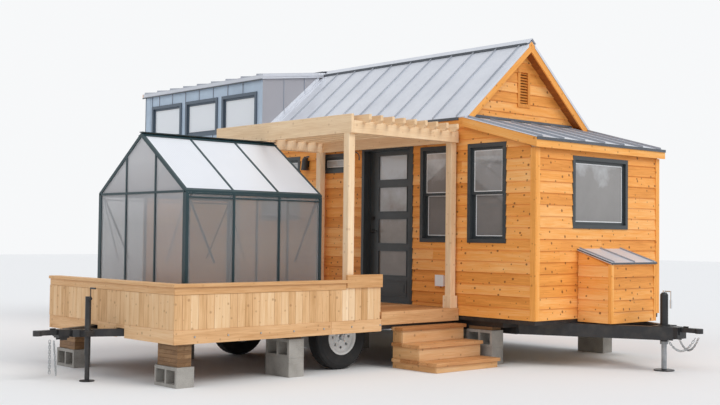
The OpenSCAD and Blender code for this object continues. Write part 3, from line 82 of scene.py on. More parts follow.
def noise(tree, place, scale, detail, rough=0.5):
    return addNode(tree, "TexNoise", {"Vector": place, "Scale": scale, "Detail": detail,
                                      "Roughness": rough}).outputs


def between(tree, share, first, second):  # a number between two others
    return addNode(tree, "Mix", {0: share, 2: first, 3: second}).outputs[0]


def blend(tree, share, first, second):  # a colour between two others, as hex text or sockets
    first, second = (linear(c) if isinstance(c, str) else c for c in (first, second))
    return addNode(tree, "Mix", {"data_type": "RGBA", 0: share, 6: first, 7: second}).outputs[2]


def ranged(tree, value, low, high, toLow=0.0, toHigh=1.0):
    return addNode(tree, "MapRange", {"Value": value, "From Min": low, "From Max": high,
                                      "To Min": toLow, "To Max": toHigh}).outputs[0]


def ramp(tree, source, stops):
    made = addNode(tree, "ValToRGB", {0: source})
    elements = made.color_ramp.elements
    while len(elements) < len(stops):
        elements.new(0.5)
    for element, (place, hexText) in zip(elements, stops):
        element.position = place
        element.color = linear(hexText)
    return made.outputs[0]


def objectPlace(tree):
    return addNode(tree, "TexCoord").outputs["Object"]


def axesOf(tree, vector):
    return addNode(tree, "SeparateXYZ", {0: vector}).outputs


def startMaterial(name, shader):
    material = bpy.data.materials.new(name)
    material.use_nodes = True
    tree = material.node_tree
    tree.nodes.clear()
    skin = addNode(tree, "BsdfPrincipled", shader)
    addNode(tree, "OutputMaterial", {"Surface": skin.outputs[0]})
    return material, tree, skin


def coat(tree, skin, colour, height=None, strength=0.0, distance=0.0):  # the colour, and a fine relief
    tree.links.new(colour, skin.inputs["Base Color"])
    if height is not None:
        relief = addNode(tree, "Bump", {"Strength": strength, "Distance": distance, "Height": height})
        tree.links.new(relief.outputs[0], skin.inputs["Normal"])


# Sawn and oiled softwood. Streaks run along the board, knots are brown with dark rims, and each
# board has its own tint, so a wall reads as many boards and not as one sheet.
def woodMaterial(name, base, **changes):
    look = dict(base, **changes)
    material, tree, skin = startMaterial(name, {"Roughness": 0.55, "Specular IOR Level": 0.35})
    own, row = [addNode(tree, "Attribute", {"attribute_name": word}).outputs["Fac"]
                for word in ("tint", "rowTint")]
    flatGrain = look["grain"] == "plank"
    if flatGrain:
        flat = addNode(tree, "UVMap", {"uv_map": "plank"}).outputs[0]
        far = calc(tree, "MULTIPLY", row, 37.0)
        place = addNode(tree, "VectorMath", {"operation": "ADD", 0: flat, 1: far}).outputs[0]
    else:
        turn = {"y": (0, 0, math.pi / 2), "z": (0, math.pi / 2, 0)}[look["grain"]]
        place = addNode(tree, "Mapping", {"Rotation": turn, "Vector": objectPlace(tree)}).outputs[0]
    warp = noise(tree, place, 2.3, 2.0)["Color"]
    shift = addNode(tree, "VectorMath", {"operation": "SCALE", "Scale": 0.02, 0: warp}).outputs[0]
    moved = addNode(tree, "VectorMath", {"operation": "ADD", 0: place, 1: shift}).outputs[0]
    bands = []
    # streaks 4 mm across and about 250 mm long, and broader bands under them
    for scale, detail, rough in (((4.0, 90.0, 90.0), 4.0, 0.6), ((1.2, 14.0, 14.0), 2.0, 0.5)):
        stretch = addNode(tree, "Mapping", {"Scale": scale, "Vector": moved}).outputs[0]
        bands.append(noise(tree, stretch, 1.0, detail, rough)[0])
    grain = between(tree, 0.45, *bands)
    tinted = calc(tree, "MULTIPLY_ADD", calc(tree, "ADD", own, row), look["spread"], -0.5 * look["spread"])
    colour = ramp(tree, calc(tree, "ADD", grain, tinted), list(zip((0.25, 0.5, 0.78), look["tones"])))
    # knots 10 to 35 mm across, about one for each 0.14 m, in four cells of five
    cells = addNode(tree, "TexVoronoi", {"voronoi_dimensions": "2D" if flatGrain else "3D",
                                         "Scale": 8.0, "Vector": moved}).outputs
    chosen = addNode(tree, "SeparateColor", {0: cells["Color"]}).outputs[0]
    size = ranged(tree, chosen, 0.2, 1.0, 0.0, 0.115)
    knot = ranged(tree, calc(tree, "SUBTRACT", size, cells["Distance"]), -0.045, 0.03)
    amount = calc(tree, "MULTIPLY", knot, look["knots"])
    coat(tree, skin, blend(tree, amount, colour, look["knotColour"]), grain, 0.25, 0.0015)
    return material


cedar = {"grain": "plank", "tones": ("#D98B3B", "#F5A650", "#FFC680"), "knotColour": "#6E3A15",
         "knots": 0.8, "spread": 0.45}
cedarSiding = woodMaterial("oiledCedarSiding", cedar, spread=0.34, knots=0.85)
cedarTrim = woodMaterial("oiledCedarTrim", cedar, tones=("#E3963F", "#F8AC55", "#FFC97F"),
                         knotColour="#8A4A1C", spread=0.2, knots=0.5)
cedarZ = woodMaterial("oiledCedarPanel", cedar, grain="z", knots=0.6)
# painted shade: the roof boards' undersides are a darker copy of the cedar, for the shade under the eaves
shadedSoffitWood = woodMaterial("cedarSoffitPaintedShade", cedar, grain="y", tones=("#8F4F1E", "#B56C2C", "#CC8543"))
pine = {"grain": "plank", "tones": ("#E6C194", "#F8DAB2", "#FFEDD0"), "knotColour": "#A87141",
        "knots": 0.28, "spread": 0.25}
pinePlank = woodMaterial("newPineBeam", pine)
capPlank = woodMaterial("planterCapBoard", pine, tones=("#C48F58", "#DBAB77", "#ECC798"))
facingPlank = woodMaterial("planterMatchBoard", pine, tones=("#C3935E", "#E3B785", "#F1D0A4"),
                           knotColour="#96663A", knots=0.5, spread=0.3)
skirtPlank = woodMaterial("stainedSkirtBoard", pine, tones=("#C79460", "#E3B583", "#F0CCA0"),
                          knotColour="#8A5A30", knots=0.45)
riserPlank = woodMaterial("stainedRiserBoard", pine, tones=("#B98450", "#D6A36C", "#E5BE8F"),
                          knotColour="#7E5028", knots=0.5)
pineY = woodMaterial("newPineRafter", pine, grain="y")
stainPlank = woodMaterial("stainedDeckBoard", pine, tones=("#A0693A", "#C48A55", "#DBAA76"),
                          knotColour="#5E3517", knots=0.6, spread=0.4)
stainY = woodMaterial("stainedWheelArch", pine, grain="y", tones=("#A0693A", "#BE8650", "#D6A46C"))
innerPine = woodMaterial("innerPineLining", pine, grain="y", tones=("#E6C194", "#E4C596", "#FFEDD0"))
packingPlank = woodMaterial("greyedPackingTimber", pine, tones=("#6B4E33", "#8C6A48", "#A98762"),
                            knotColour="#45301F")


# Factory coated sheet steel. Long faint waves in the flat pans and a satin film that dulls what
# it mirrors.
def sheetSteel(name, hexText, darkText, rough, shadedFaceText=None):
    material, tree, skin = startMaterial(name, {"Roughness": rough, "Metallic": 0.25})
    place = objectPlace(tree)
    wave = noise(tree, place, 1.6, 2.0)[0]
    mixed = between(tree, 0.4, wave, noise(tree, place, 9.0, 5.0, 0.65)[0])
    colour = ramp(tree, mixed, [(0.3, darkText), (0.6, hexText)])
    if shadedFaceText:  # painted shade: sheets that face the front are drawn greyer, as they stand in shade
        normal = addNode(tree, "NewGeometry").outputs["Normal"]
        colour = blend(tree, calc(tree, "LESS_THAN", axesOf(tree, normal)[1], -0.7), colour, shadedFaceText)
    coat(tree, skin, colour, wave, 0.12, 0.02)
    return material


roofSteel = sheetSteel("galvalumeRoofSheet", "#DADDE3", "#CED1D8", 0.38)
# painted shade: the seams are a darker copy of the roof steel, for the shade on their sides
shadedSeamSteel = sheetSteel("galvalumeSeamPaintedShade", "#A9ADB4", "#9A9EA5", 0.4)
# painted shade: the greyer colour goes on the sheets that face the front
blueSteel = sheetSteel("slateBlueWallSheet", "#BCCDDD", "#ADBDCD", 0.45, "#A9A8AD")
# dark drip edges and lips, and the painted shade under the ridge cap
darkTrimAndShadeSteel = sheetSteel("darkFlashingAndRidgeShade", "#5C6167", "#4B5056", 0.4)


# Sprayed or dipped paint on metal. Fine orange peel, with dust that gathers in low frequency.
def paintedMetal(name, hexText, dustText, rough, dust, upper=None):
    material, tree, skin = startMaterial(name, {"Roughness": rough, "Specular IOR Level": 0.5})
    place = objectPlace(tree)
    share = ranged(tree, noise(tree, place, 7.0, 6.0, 0.6)[0], 0.45, 0.8, 0.0, dust)
    colour = blend(tree, share, hexText, dustText)
    if upper:  # the dormer's frames are a lighter slate: height picks them
        above = calc(tree, "GREATER_THAN", axesOf(tree, place)[2], upper[0])
        colour = blend(tree, above, colour, upper[1])
    coat(tree, skin, colour, noise(tree, place, 260.0, 1.0)[0], 0.12, 0.0006)
    return material


chassisBlack = paintedMetal("chassisBlackEnamel", "#232325", "#6A6258", 0.42, 0.3)
frameCharcoal = paintedMetal("charcoalWindowPaint", "#3A3F41", "#565B5C", 0.4, 0.2, (2.98, "#566370"))
doorCharcoal = paintedMetal("charcoalDoorPaint", "#43494C", "#5A5F61", 0.38, 0.2)
rimWhite = paintedMetal("whiteWheelEnamel", "#E4E4E1", "#B9B2A6", 0.3, 0.4)
greenhouseGreen = paintedMetal("darkGreenPowderCoat", "#17343A", "#35555A", 0.4, 0.25)
whitePlastic = paintedMetal("whiteOutletPlastic", "#ECEDEC", "#CFCFCB", 0.45, 0.3)
# Moulded rubber: nearly black, dull, with pale dust on the sidewall
tyreRubber = paintedMetal("tyreRubber", "#1C1C1D", "#4A4640", 0.75, 0.45)


# Jack: black outer tube and foot, with the galvanised inner tube showing between them
def jackMaterial(name, footTop, tubeTop):
    material, tree, skin = startMaterial(name, {"Roughness": 0.42})
    place = objectPlace(tree)
    height = axesOf(tree, place)[2]
    above, below = calc(tree, "GREATER_THAN", height, footTop), calc(tree, "LESS_THAN", height, tubeTop)
    zinc = ramp(tree, noise(tree, place, 14.0, 4.0)[0], [(0.3, "#8B8E90"), (0.7, "#B4B7B9")])
    coat(tree, skin, blend(tree, calc(tree, "MULTIPLY", above, below), "#232325", zinc))
    return material


jackEnamel = jackMaterial("jackEnamelAndZinc", 0.020, 0.330)


def plainMetal(name, hexText, rough):  # zinc or chrome plate, bright with a soft mottle
    material, tree, skin = startMaterial(name, {"Metallic": 1.0, "Base Color": linear(hexText)})
    spangle = addNode(tree, "TexVoronoi", {"Vector": objectPlace(tree), "Scale": 90.0}).outputs
    grey = addNode(tree, "SeparateColor", {0: spangle["Color"]}).outputs[0]
    tree.links.new(ranged(tree, grey, 0.0, 1.0, rough * 0.8, rough * 1.3), skin.inputs["Roughness"])
    return material


zincPlate = plainMetal("galvanisedSteel", "#B4B7B9", 0.38)
chromePlate = plainMetal("chromePlate", "#D8DADC", 0.14)


# Pressed concrete block: coarse grit with open pores, pale grey, with darker damp blotches
def blockMaterial(name):
    material, tree, skin = startMaterial(name, {"Roughness": 0.9, "Specular IOR Level": 0.2})
    place = objectPlace(tree)
    grit = noise(tree, place, 120.0, 3.0)[0]
    mixed = between(tree, 0.5, grit, noise(tree, place, 6.0, 4.0)[0])
    colour = ramp(tree, mixed, [(0.3, "#87837B"), (0.55, "#A8A49D"), (0.75, "#BDB9B1")])
    coat(tree, skin, colour, grit, 0.5, 0.003)
    return material


concrete = blockMaterial("pressedConcreteBlock")


# Float glass with a painted reflection: a dim band low down and a pale sky above it, set in its colour by
# height
def paneGlass(name, tones, heights, clear):
    material, tree, skin = startMaterial(name, {"Roughness": 0.04, "IOR": 1.5, "Specular IOR Level": 0.8,
                                                "Transmission Weight": clear})
    place = objectPlace(tree)
    drift = calc(tree, "MULTIPLY_ADD", noise(tree, place, 3.1, 4.0, 0.6)[0], 0.5, -0.25)
    paintedReflection = calc(tree, "ADD", drift, ranged(tree, axesOf(tree, place)[2], *heights))
    coat(tree, skin, ramp(tree, paintedReflection, list(zip((0.12, 0.45, 0.8), tones))))
    return material


windowGlass = paneGlass("clearWindowGlass", ("#888582", "#969390", "#F8FCFF"), (1.2, 3.5), 0.12)
doorGlass = paneGlass("clearDoorGlass", ("#857C72", "#9D968E", "#DCE6EF"), (0.9, 2.7), 0.15)


# Extruded twin wall sheet: milky, with the webs showing as fine lines. The real webs are 10 mm
# apart and are drawn at 25 mm so that they show. The gable ends are painted paler high up, a painted glow of
# sky light.
def twinWall(name, hexText, lineText, alpha, clear):
    material, tree, skin = startMaterial(name, {"Roughness": 0.3, "IOR": 1.49, "Alpha": alpha,
                                                "Transmission Weight": clear})
    place = objectPlace(tree)
    axes = axesOf(tree, place)
    facing = axesOf(tree, addNode(tree, "NewGeometry").outputs["Normal"])[0]
    gable = calc(tree, "GREATER_THAN", calc(tree, "ABSOLUTE", facing), 0.7)
    websAlong = calc(tree, "MULTIPLY", between(tree, gable, axes[0], axes[1]), 40.0)
    web = calc(tree, "LESS_THAN", calc(tree, "FRACT", websAlong), 0.16)
    lines = calc(tree, "MULTIPLY", web, 0.45)
    drift = calc(tree, "MULTIPLY_ADD", noise(tree, place, 2.0, 2.0)[0], 0.4, lines)
    colour = ramp(tree, drift, [(0.1, hexText), (0.9, lineText)])
    # painted light: the gable ends turn paler high up, as if lit from the sky
    sky = calc(tree, "MULTIPLY", gable, ranged(tree, axes[2], 1.6, 2.3, 0.3, 0.95))
    coat(tree, skin, blend(tree, sky, colour, "#F2F3F5"))
    return material


wallSheet = twinWall("greyTwinWallSheet", "#A3A5A6", "#7C7F80", 0.42, 0.05)
roofSheet = twinWall("milkyTwinWallSheet", "#F7F9FC", "#E2E6EC", 0.88, 0.1)
print("materials made")


def dress(nodeName, material):
    mesh = nodes[nodeName].data
    mesh.materials.clear()
    mesh.materials.append(material)


def finished(mesh, name, material, body="house", stands=()):
    made = bpy.data.objects.new(name, mesh)
    bpy.context.collection.objects.link(made)
    if material:
        mesh.materials.clear()
        mesh.materials.append(material)
    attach(made, body)
    if stands:
        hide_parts(*stands)
    return made


def meshFrom(bm, name):
    made = bpy.data.meshes.new(name)
    bm.to_mesh(made)
    bm.free()
    return made


def newBench(seed):  # a mesh in the making, with a grain map and a tint for each board
    bm = bmesh.new()
    return {"bm": bm, "uv": bm.loops.layers.uv.new("plank"), "tint": bm.faces.layers.float.new("tint"),
            "dice": random.Random(seed), "look": (0.5, 0, 0)}


def newBoard(bench):
    dice = bench["dice"]
    bench["look"] = (dice.random(), dice.uniform(0, 40), dice.uniform(0, 40))


def solid(bench, corners, along, across):  # corners: four round the back, then the four in front
    made = [bench["bm"].verts.new(c) for c in corners]
    tint, shiftU, shiftV = bench["look"]
    third = along.cross(across)
    for ring in ((3, 2, 1, 0), (4, 5, 6, 7), (0, 1, 5, 4), (1, 2, 6, 5), (2, 3, 7, 6), (3, 0, 4, 7)):
        face = bench["bm"].faces.new([made[i] for i in ring])
        face[bench["tint"]] = tint
        for loop in face.loops:
            p = loop.vert.co
            loop[bench["uv"]].uv = (p.dot(along) + shiftU, p.dot(across) + p.dot(third) + shiftV)


def board(bench, low, high):  # a board with its grain along its longest side
    newBoard(bench)
    low, high = Vector(low), Vector(high)
    first, second = sorted(range(3), key=lambda i: low[i] - high[i])[:2]
    corners = [Vector((x, y, z)) for z in (low.z, high.z) for x, y in
               ((low.x, low.y), (high.x, low.y), (high.x, high.y), (low.x, high.y))]
    unit = Matrix.Identity(3)
    solid(bench, corners, unit[first], unit[second])


def beam(bench, start, end, side, up):  # a straight bar: its foot line, half its width, its height
    newBoard(bench)
    start, end, side, up = Vector(start), Vector(end), Vector(side), Vector(up)
    foot = [start - side, start + side, end + side, end - side]
    solid(bench, foot + [c + up for c in foot], (end - start).normalized(), side.normalized())


def benchMesh(bench, name, bevel=0.0):
    bm = bench["bm"]
    bmesh.ops.recalc_face_normals(bm, faces=bm.faces)
    if bevel:
        bmesh.ops.bevel(bm, geom=bm.edges[:], offset=bevel, segments=1, affect="EDGES", clamp_overlap=True)
    return meshFrom(bm, name)


def boards(name, items, material, slotName, bevel=0.002, seed=3, body="house", stands=()):
    bench = newBench(seed)
    for low, high in items:
        board(bench, at(*low), at(*high))
    return finished(benchMesh(bench, name, bevel), name, material, body, stands)


def bars(name, items, material, stands=()):
    bench = newBench(4)
    for start, end, side, up in items:
        beam(bench, at(*start), at(*end), side, up)
    return finished(benchMesh(bench, name), name, material, "house", stands)


def crate(*sides):  # the low and the high corner of a box from its span on each axis
    return tuple(min(s) for s in sides), tuple(max(s) for s in sides)


def edging(u0, v0, u1, v1, wide):  # four strips inside a rectangle's edge
    return ((u0, v0, u1, v0 + wide), (u0, v1 - wide, u1, v1), (u0, v0 + wide, u0 + wide, v1 - wide),
            (u1 - wide, v0 + wide, u1, v1 - wide))


# Bars by where they run: level along X or Y, upright, or on a slope that falls along X or Y
def alongX(x0, x1, y, z, half, high):
    return (x0, y, z), (x1, y, z), (0, half, 0), (0, 0, high)


def alongY(x, y0, y1, z, half, high):
    return (x, y0, z), (x, y1, z), (half, 0, 0), (0, 0, high)


def upright(x, y, z0, z1, side, out):
    return (x, y, z0), (x, y, z1), side, out


def slopeX(x0, x1, y, top, lift, half, high):
    return (x0, y, top(x0) + lift), (x1, y, top(x1) + lift), (0, half, 0), (0, 0, high)


def slopeY(x, y0, y1, top, lift, half, high):
    return (x, y0, top(y0) + lift), (x, y1, top(y1) + lift), (half, 0, 0), (0, 0, high)


# Copies of one small part in a row or round a centre, each with its own tint and a little play
def makeRowNodes():
    tree = bpy.data.node_groups.new("rowOf", "GeometryNodeTree")
    tree.interface.new_socket("Geometry", in_out="OUTPUT", socket_type="NodeSocketGeometry")
    for label, kind in (("Geometry", "Geometry"), ("Count", "Int"), ("Start", "Vector"), ("Step", "Vector"),
                        ("Turn", "Vector"), ("Play", "Vector"), ("Seed", "Int"), ("Material", "Material")):
        tree.interface.new_socket(label, in_out="INPUT", socket_type="NodeSocket" + kind)
    given = addNode(tree, "NodeGroupInput").outputs
    play, seed = given["Play"], given["Seed"]

    def step(kind, settings):  # a node's first output feeds the next one
        return addNode(tree, kind, settings).outputs[0]

    line = step("GeometryNodeMeshLine", {"mode": "OFFSET", "Count": given["Count"],
                                         "Start Location": given["Start"], "Offset": given["Step"]})
    spin = step("VectorMath", {"operation": "SCALE", 0: given["Turn"],
                               "Scale": step("GeometryNodeInputIndex", {})})
    copies = step("GeometryNodeInstanceOnPoints", {"Points": line, "Instance": given["Geometry"],
                                                   "Rotation": spin})
    back = step("VectorMath", {"operation": "SCALE", "Scale": -1.0, 0: play})
    chance = step("FunctionNodeRandomValue", {"data_type": "FLOAT_VECTOR", 0: back, 1: play, "Seed": seed})
    nudged = step("GeometryNodeTranslateInstances", {"Local Space": False, "Instances": copies,
                                                     "Translation": chance})
    tone = addNode(tree, "FunctionNodeRandomValue", {"data_type": "FLOAT", "Seed": seed}).outputs[1]
    marked = step("GeometryNodeStoreNamedAttribute", {"data_type": "FLOAT", "domain": "INSTANCE",
                                                      "Name": "rowTint", "Geometry": nudged, "Value": tone})
    real = step("GeometryNodeRealizeInstances", {0: marked})
    painted = step("GeometryNodeSetMaterial", {"Geometry": real, "Material": given["Material"]})
    addNode(tree, "NodeGroupOutput", {0: painted})
    return tree


rowNodes = makeRowNodes()


def rowOf(name, mesh, material, start, count, step=(0, 0, 0), turn=(0, 0, 0), play=(0, 0, 0),
          seed=1, body="house"):
    source = bpy.data.objects.new(name + "First", mesh)
    bpy.context.collection.objects.link(source)
    modifier = source.modifiers.new("row", "NODES")
    modifier.node_group = rowNodes
    values = {"Count": count, "Start": tuple(start), "Step": step, "Turn": turn, "Play": play, "Seed": seed,
              "Material": material}
    for item in rowNodes.interface.items_tree:
        if item.in_out == "INPUT" and item.name in values:
            modifier[item.identifier] = values[item.name]
    graph = bpy.context.evaluated_depsgraph_get()
    made = bpy.data.meshes.new_from_object(source.evaluated_get(graph), depsgraph=graph)
    bpy.data.objects.remove(source)
    made.name = name
    return finished(made, name, None, body)


def oneBeam(name, start, end, side, up):  # the small part that a row repeats, drawn about its start
    bench = newBench(5)
    beam(bench, start, end, side, up)
    for face in bench["bm"].faces:
        face[bench["tint"]] = 0.0
    return benchMesh(bench, name)


toRight, toBack = Vector((1, 0, 0)), Vector((0, 1, 0))
sidingLook = {"exposure": 0.132, "buttThickness": 0.0165, "topThickness": 0.0035, "boardLength": (1.6, 3.6),
              "endGap": 0.0008, "shortest": 0.3}


def outside(spans, holes, low, high):  # what the openings leave of a board between two heights
    for h in holes:
        if h[2] < high - 1e-6 and h[3] > low + 1e-6:
            spans = [part for s, e in spans for part in ((s, min(e, h[0])), (max(s, h[1]), e))
                     if part[1] - part[0] > 0.004]
    return spans


def lapSiding(name, wall, low, high, limits, holes, seed):
    # wall: origin, along, out. limits(v) gives where the courses start and end at height v
    origin, along, out = wall
    up, step, gap = Vector((0, 0, 1)), sidingLook["exposure"], sidingLook["endGap"]
    butt, thinning = sidingLook["buttThickness"], sidingLook["topThickness"] - sidingLook["buttThickness"]
    bench = newBench(seed)
    dice = bench["dice"]
    for course in range(math.ceil((high - low) / step)):
        v0 = low + course * step
        v1 = min(v0 + step, high)
        start, end = limits(v0)
        cuts = [start]
        reach = start - dice.uniform(0, 2.0)
        while reach < end:
            reach += dice.uniform(*sidingLook["boardLength"])
            if start + sidingLook["shortest"] < reach < end - sidingLook["shortest"]:
                cuts.append(reach)
        cuts.append(end)
        levels = sorted({v0, v1} | {e for h in holes for e in h[2:4] if v0 < e < v1})
        for cut in zip(cuts, cuts[1:]):
            newBoard(bench)
            for va, vb in zip(levels, levels[1:]):
                startA, endA = limits(va)
                startB, endB = limits(vb)
                for s, e in outside([cut], holes, va, vb):
                    sa, ea, sb, eb = max(s, startA), min(e, endA), max(s, startB), min(e, endB)
                    if ea - sa < 0.003:
                        continue
                    if eb < sb:
                        sb = eb = (sb + eb) / 2
                    places = ((sa + gap, va), (ea - gap, va), (eb - gap, vb), (sb + gap, vb))
                    flat = [origin + along * u + up * v for u, v in places]
                    thick = [butt + thinning * ((v - v0) / step) for u, v in places]
                    front = [p + out * t for p, t in zip(flat, thick)]
                    solid(bench, [p - out * 0.001 for p in flat] + front, along, up)
    finished(benchMesh(bench, name), name, cedarSiding)


# Sizes of the house that the frame's boxes don't give one by one, in metres
houseWidth = boxOf("right_wall")[1].x
midX = houseWidth / 2
mainFront, backFace = boxOf("front_gable")[0].y, boxOf("back_wall")[1].y
wallFoot, floorTop = boxOf("left_wall_back")[0].z, boxOf("floor")[1].z
eaveTop = floorTop + 2.324
ridgeTop = eaveTop + 1.070
roofSlope = (ridgeTop - eaveTop) / (midX + 0.030)
leanSlope, dormerSlope = 0.340 / 1.270, 0.149 / 1.249
leanEave = floorTop + 2.015
hungSill, frontSill = floorTop + 0.818, floorTop + 0.998
hungHead, frontHead = hungSill + 1.177, frontSill + 0.853
dormerY = mainFront + 3.930
doorY, doorWide, doorHead = 1.951, 0.958, floorTop + 2.045
axleY, axleZ = (4.670, 5.530), 0.360


def leanTop(y):
    return leanEave + (y + 0.070) * leanSlope


def leanUnder(y):
    return leanTop(y) - 0.105 * math.sqrt(1 + leanSlope ** 2)


def roofTop(x):
    return ridgeTop - abs(x - midX) * roofSlope


def roofUnder(x):
    return roofTop(x) - 0.102 * math.sqrt(1 + roofSlope ** 2)


def dormerTop(x):
    return ridgeTop - (midX - x) * dormerSlope


cornerBoard, gablePeak = 0.059, ridgeTop - 0.16
sideTop, lowTop = roofUnder(0.0), leanUnder(0.0)


def sideLimits(v):
    start = cornerBoard
    if v > lowTop:
        start = max(start, (v - lowTop) / leanSlope)
    return start, backFace - cornerBoard


def hungHole(y):
    return y, y + 0.600, hungSill, hungHead


leftHoles = [(doorY, doorY + doorWide, 0.0, doorHead), hungHole(0.422), hungHole(1.220),
             (3.140, 3.740, hungHead - 0.260, hungHead), (4.215, 5.115, hungHead - 0.900, hungHead)]
rightHoles = [hungHole(0.422), hungHole(3.0), hungHole(6.4)]
wheelWells = [(axleY[0] - side, axleY[1] + side, 0.0, axleZ + rise)
              for side, rise in ((0.415, 0.30), (0.25, 0.412))]
for name, x, out, holes, seed in (("siding_left", 0, -toRight, leftHoles, 11),
                                  ("siding_right", houseWidth, toRight, rightHoles, 12)):
    lapSiding(name, (at(x, 0, 0), toBack, out), wallFoot, sideTop, sideLimits, holes + wheelWells, seed)
lapSiding("siding_front", (at(0, 0, 0), toRight, -toBack), wallFoot, lowTop,
          lambda v: (cornerBoard, houseWidth - cornerBoard), [(0.668, 1.769, frontSill, frontHead)], 13)


def gableLimits(v):
    half = (ridgeTop - 0.135 - v) / roofSlope
    return max(0.0, midX - half), min(houseWidth, midX + half)


ventLow, ventHigh = boxOf("gable_vent")
lapSiding("siding_gable", (at(0, mainFront, 0), toRight, -toBack), leanUnder(mainFront) + 0.09, gablePeak,
          gableLimits, [(ventLow.x, ventHigh.x, ventLow.z, ventHigh.z)], 14)


def backLimits(v):  # to the right the main slope, to the left the dormer's flat one
    low = 0.002 if v > eaveTop - 0.14 else cornerBoard
    if v > dormerTop(0) - 0.075:
        low = min(midX, (v - dormerTop(0) + 0.075) / dormerSlope)
    return low, min(gableLimits(v)[1], houseWidth - cornerBoard)


lapSiding("siding_back", (at(0, backFace, 0), toRight, toBack), wallFoot, gablePeak, backLimits,
          [(midX - 0.5505, midX + 0.5505, frontSill, frontHead)], 15)
print("siding laid")

rakeY, tailY = mainFront - 0.139, backFace + 0.070
roofLook = {"pitch": 0.3955, "firstSeam": 1.199, "seamHigh": 0.026, "seamHalf": 0.006, "pan": 0.004}
sheetTop = roofLook["pan"] + 0.001


def slopeSheet(x0, x1, y0, y1, top):  # one flat sheet on a slope that falls along X
    return slopeX(x0, x1, (y0 + y1) / 2, top, 0.001, (y1 - y0) / 2, roofLook["pan"])


bars("roof_sheets", [
    slopeSheet(-0.033, midX - 0.002, rakeY, dormerY - 0.002, roofTop),
    slopeSheet(midX + 0.002, houseWidth + 0.033, rakeY, tailY + 0.018, roofTop),
    slopeSheet(-0.034, midX - 0.002, dormerY - 0.032, tailY + 0.018, dormerTop),
    slopeY(midX, -0.076, rakeY - 0.004, leanTop, 0.001, midX + 0.072, roofLook["pan"]),
    ((midX, rakeY - 0.003, leanTop(rakeY) + 0.001),
     (midX, mainFront - 0.017, leanTop(mainFront - 0.017) + 0.001),
     (midX - 0.24, 0, 0), (0, 0, roofLook["pan"]))], roofSteel)


def seamRow(name, x0, x1, top, y0, count):
    rib = oneBeam(name, *slopeX(x0, x1, 0, top, sheetTop, roofLook["seamHalf"], roofLook["seamHigh"]))
    rowOf(name, rib, shadedSeamSteel, at(0, y0, 0), count, step=(0, roofLook["pitch"], 0))


seamRow("roof_seams_left", -0.032, midX - 0.070, roofTop, roofLook["firstSeam"], 10)
seamRow("roof_seams_right", houseWidth + 0.032, midX + 0.070, roofTop, roofLook["firstSeam"], 19)
seamRow("dormer_roof_seams", -0.032, midX - 0.070, dormerTop, dormerY + 0.122, 9)
rib = oneBeam("lean_rib", *slopeY(0, -0.074, rakeY - 0.006, leanTop, sheetTop, 0.006, roofLook["seamHigh"]))
rowOf("lean_roof_seams", rib, shadedSeamSteel, at(0.03, 0, 0), 7, step=(roofLook["pitch"], 0, 0))

# Raised ridge cap on dark strips that stand for the shadow under it, a painted shade, with flat strips down
# the rakes
capHalf, capLift = 0.038, 0.034


def capPlate(sign, y0, y1, slope):
    x, z = midX + sign * capHalf, ridgeTop - capHalf * slope + capLift
    return (x, y0, z), (x, y1, z), (capHalf, 0, -sign * capHalf * slope), (0, 0, 0.005)


# painted shade: a dark strip under each side of the raised cap, where its shadow falls
def ridgeShadeStrip(sign, y0, y1, top):
    x = midX + sign * 0.072
    return alongY(x, y0, y1, top(x) + sheetTop, 0.005, 0.034)


def rakeStrip(x0, x1, y, top):  # folded strip on the sheet and its lip over the board
    return [slopeX(x0, x1, y + 0.045, top, sheetTop, 0.050, 0.008),
            slopeX(x0, x1, y - 0.004, top, -0.030, 0.002, 0.040)]


bars("ridge_flashing", [capPlate(-1, rakeY - 0.012, dormerY - 0.034, roofSlope),
                        capPlate(1, rakeY - 0.012, tailY + 0.024, roofSlope),
                        capPlate(-1, dormerY - 0.033, tailY + 0.024, dormerSlope)],
     roofSteel, ["ridge_cap"])
bars("rake_flashing", rakeStrip(-0.034, midX - 0.06, rakeY, roofTop)
     + rakeStrip(houseWidth + 0.034, midX + 0.06, rakeY, roofTop)
     + rakeStrip(-0.036, midX - 0.06, dormerY - 0.032, dormerTop), roofSteel)
bars("dark_flashing_and_ridge_shade", [
    ridgeShadeStrip(-1, rakeY + 0.02, dormerY - 0.04, roofTop), ridgeShadeStrip(1, rakeY + 0.02, tailY, roofTop),
    ridgeShadeStrip(-1, dormerY, tailY, dormerTop),
    alongY(-0.036, rakeY + 0.10, dormerY - 0.03, eaveTop - 0.030, 0.005, 0.034),
    alongY(houseWidth + 0.036, rakeY, tailY, eaveTop - 0.030, 0.005, 0.034),
    alongX(-0.070, houseWidth + 0.070, -0.077, leanEave - 0.026, 0.004, 0.034),
    alongY(-0.040, dormerY - 0.02, tailY, dormerTop(-0.04) - 0.074, 0.006, 0.018),
    alongX(0.24, houseWidth - 0.24, mainFront - 0.020, leanTop(mainFront) + 0.004, 0.014, 0.030)],
    darkTrimAndShadeSteel)
print("roof sheets and flashings laid")

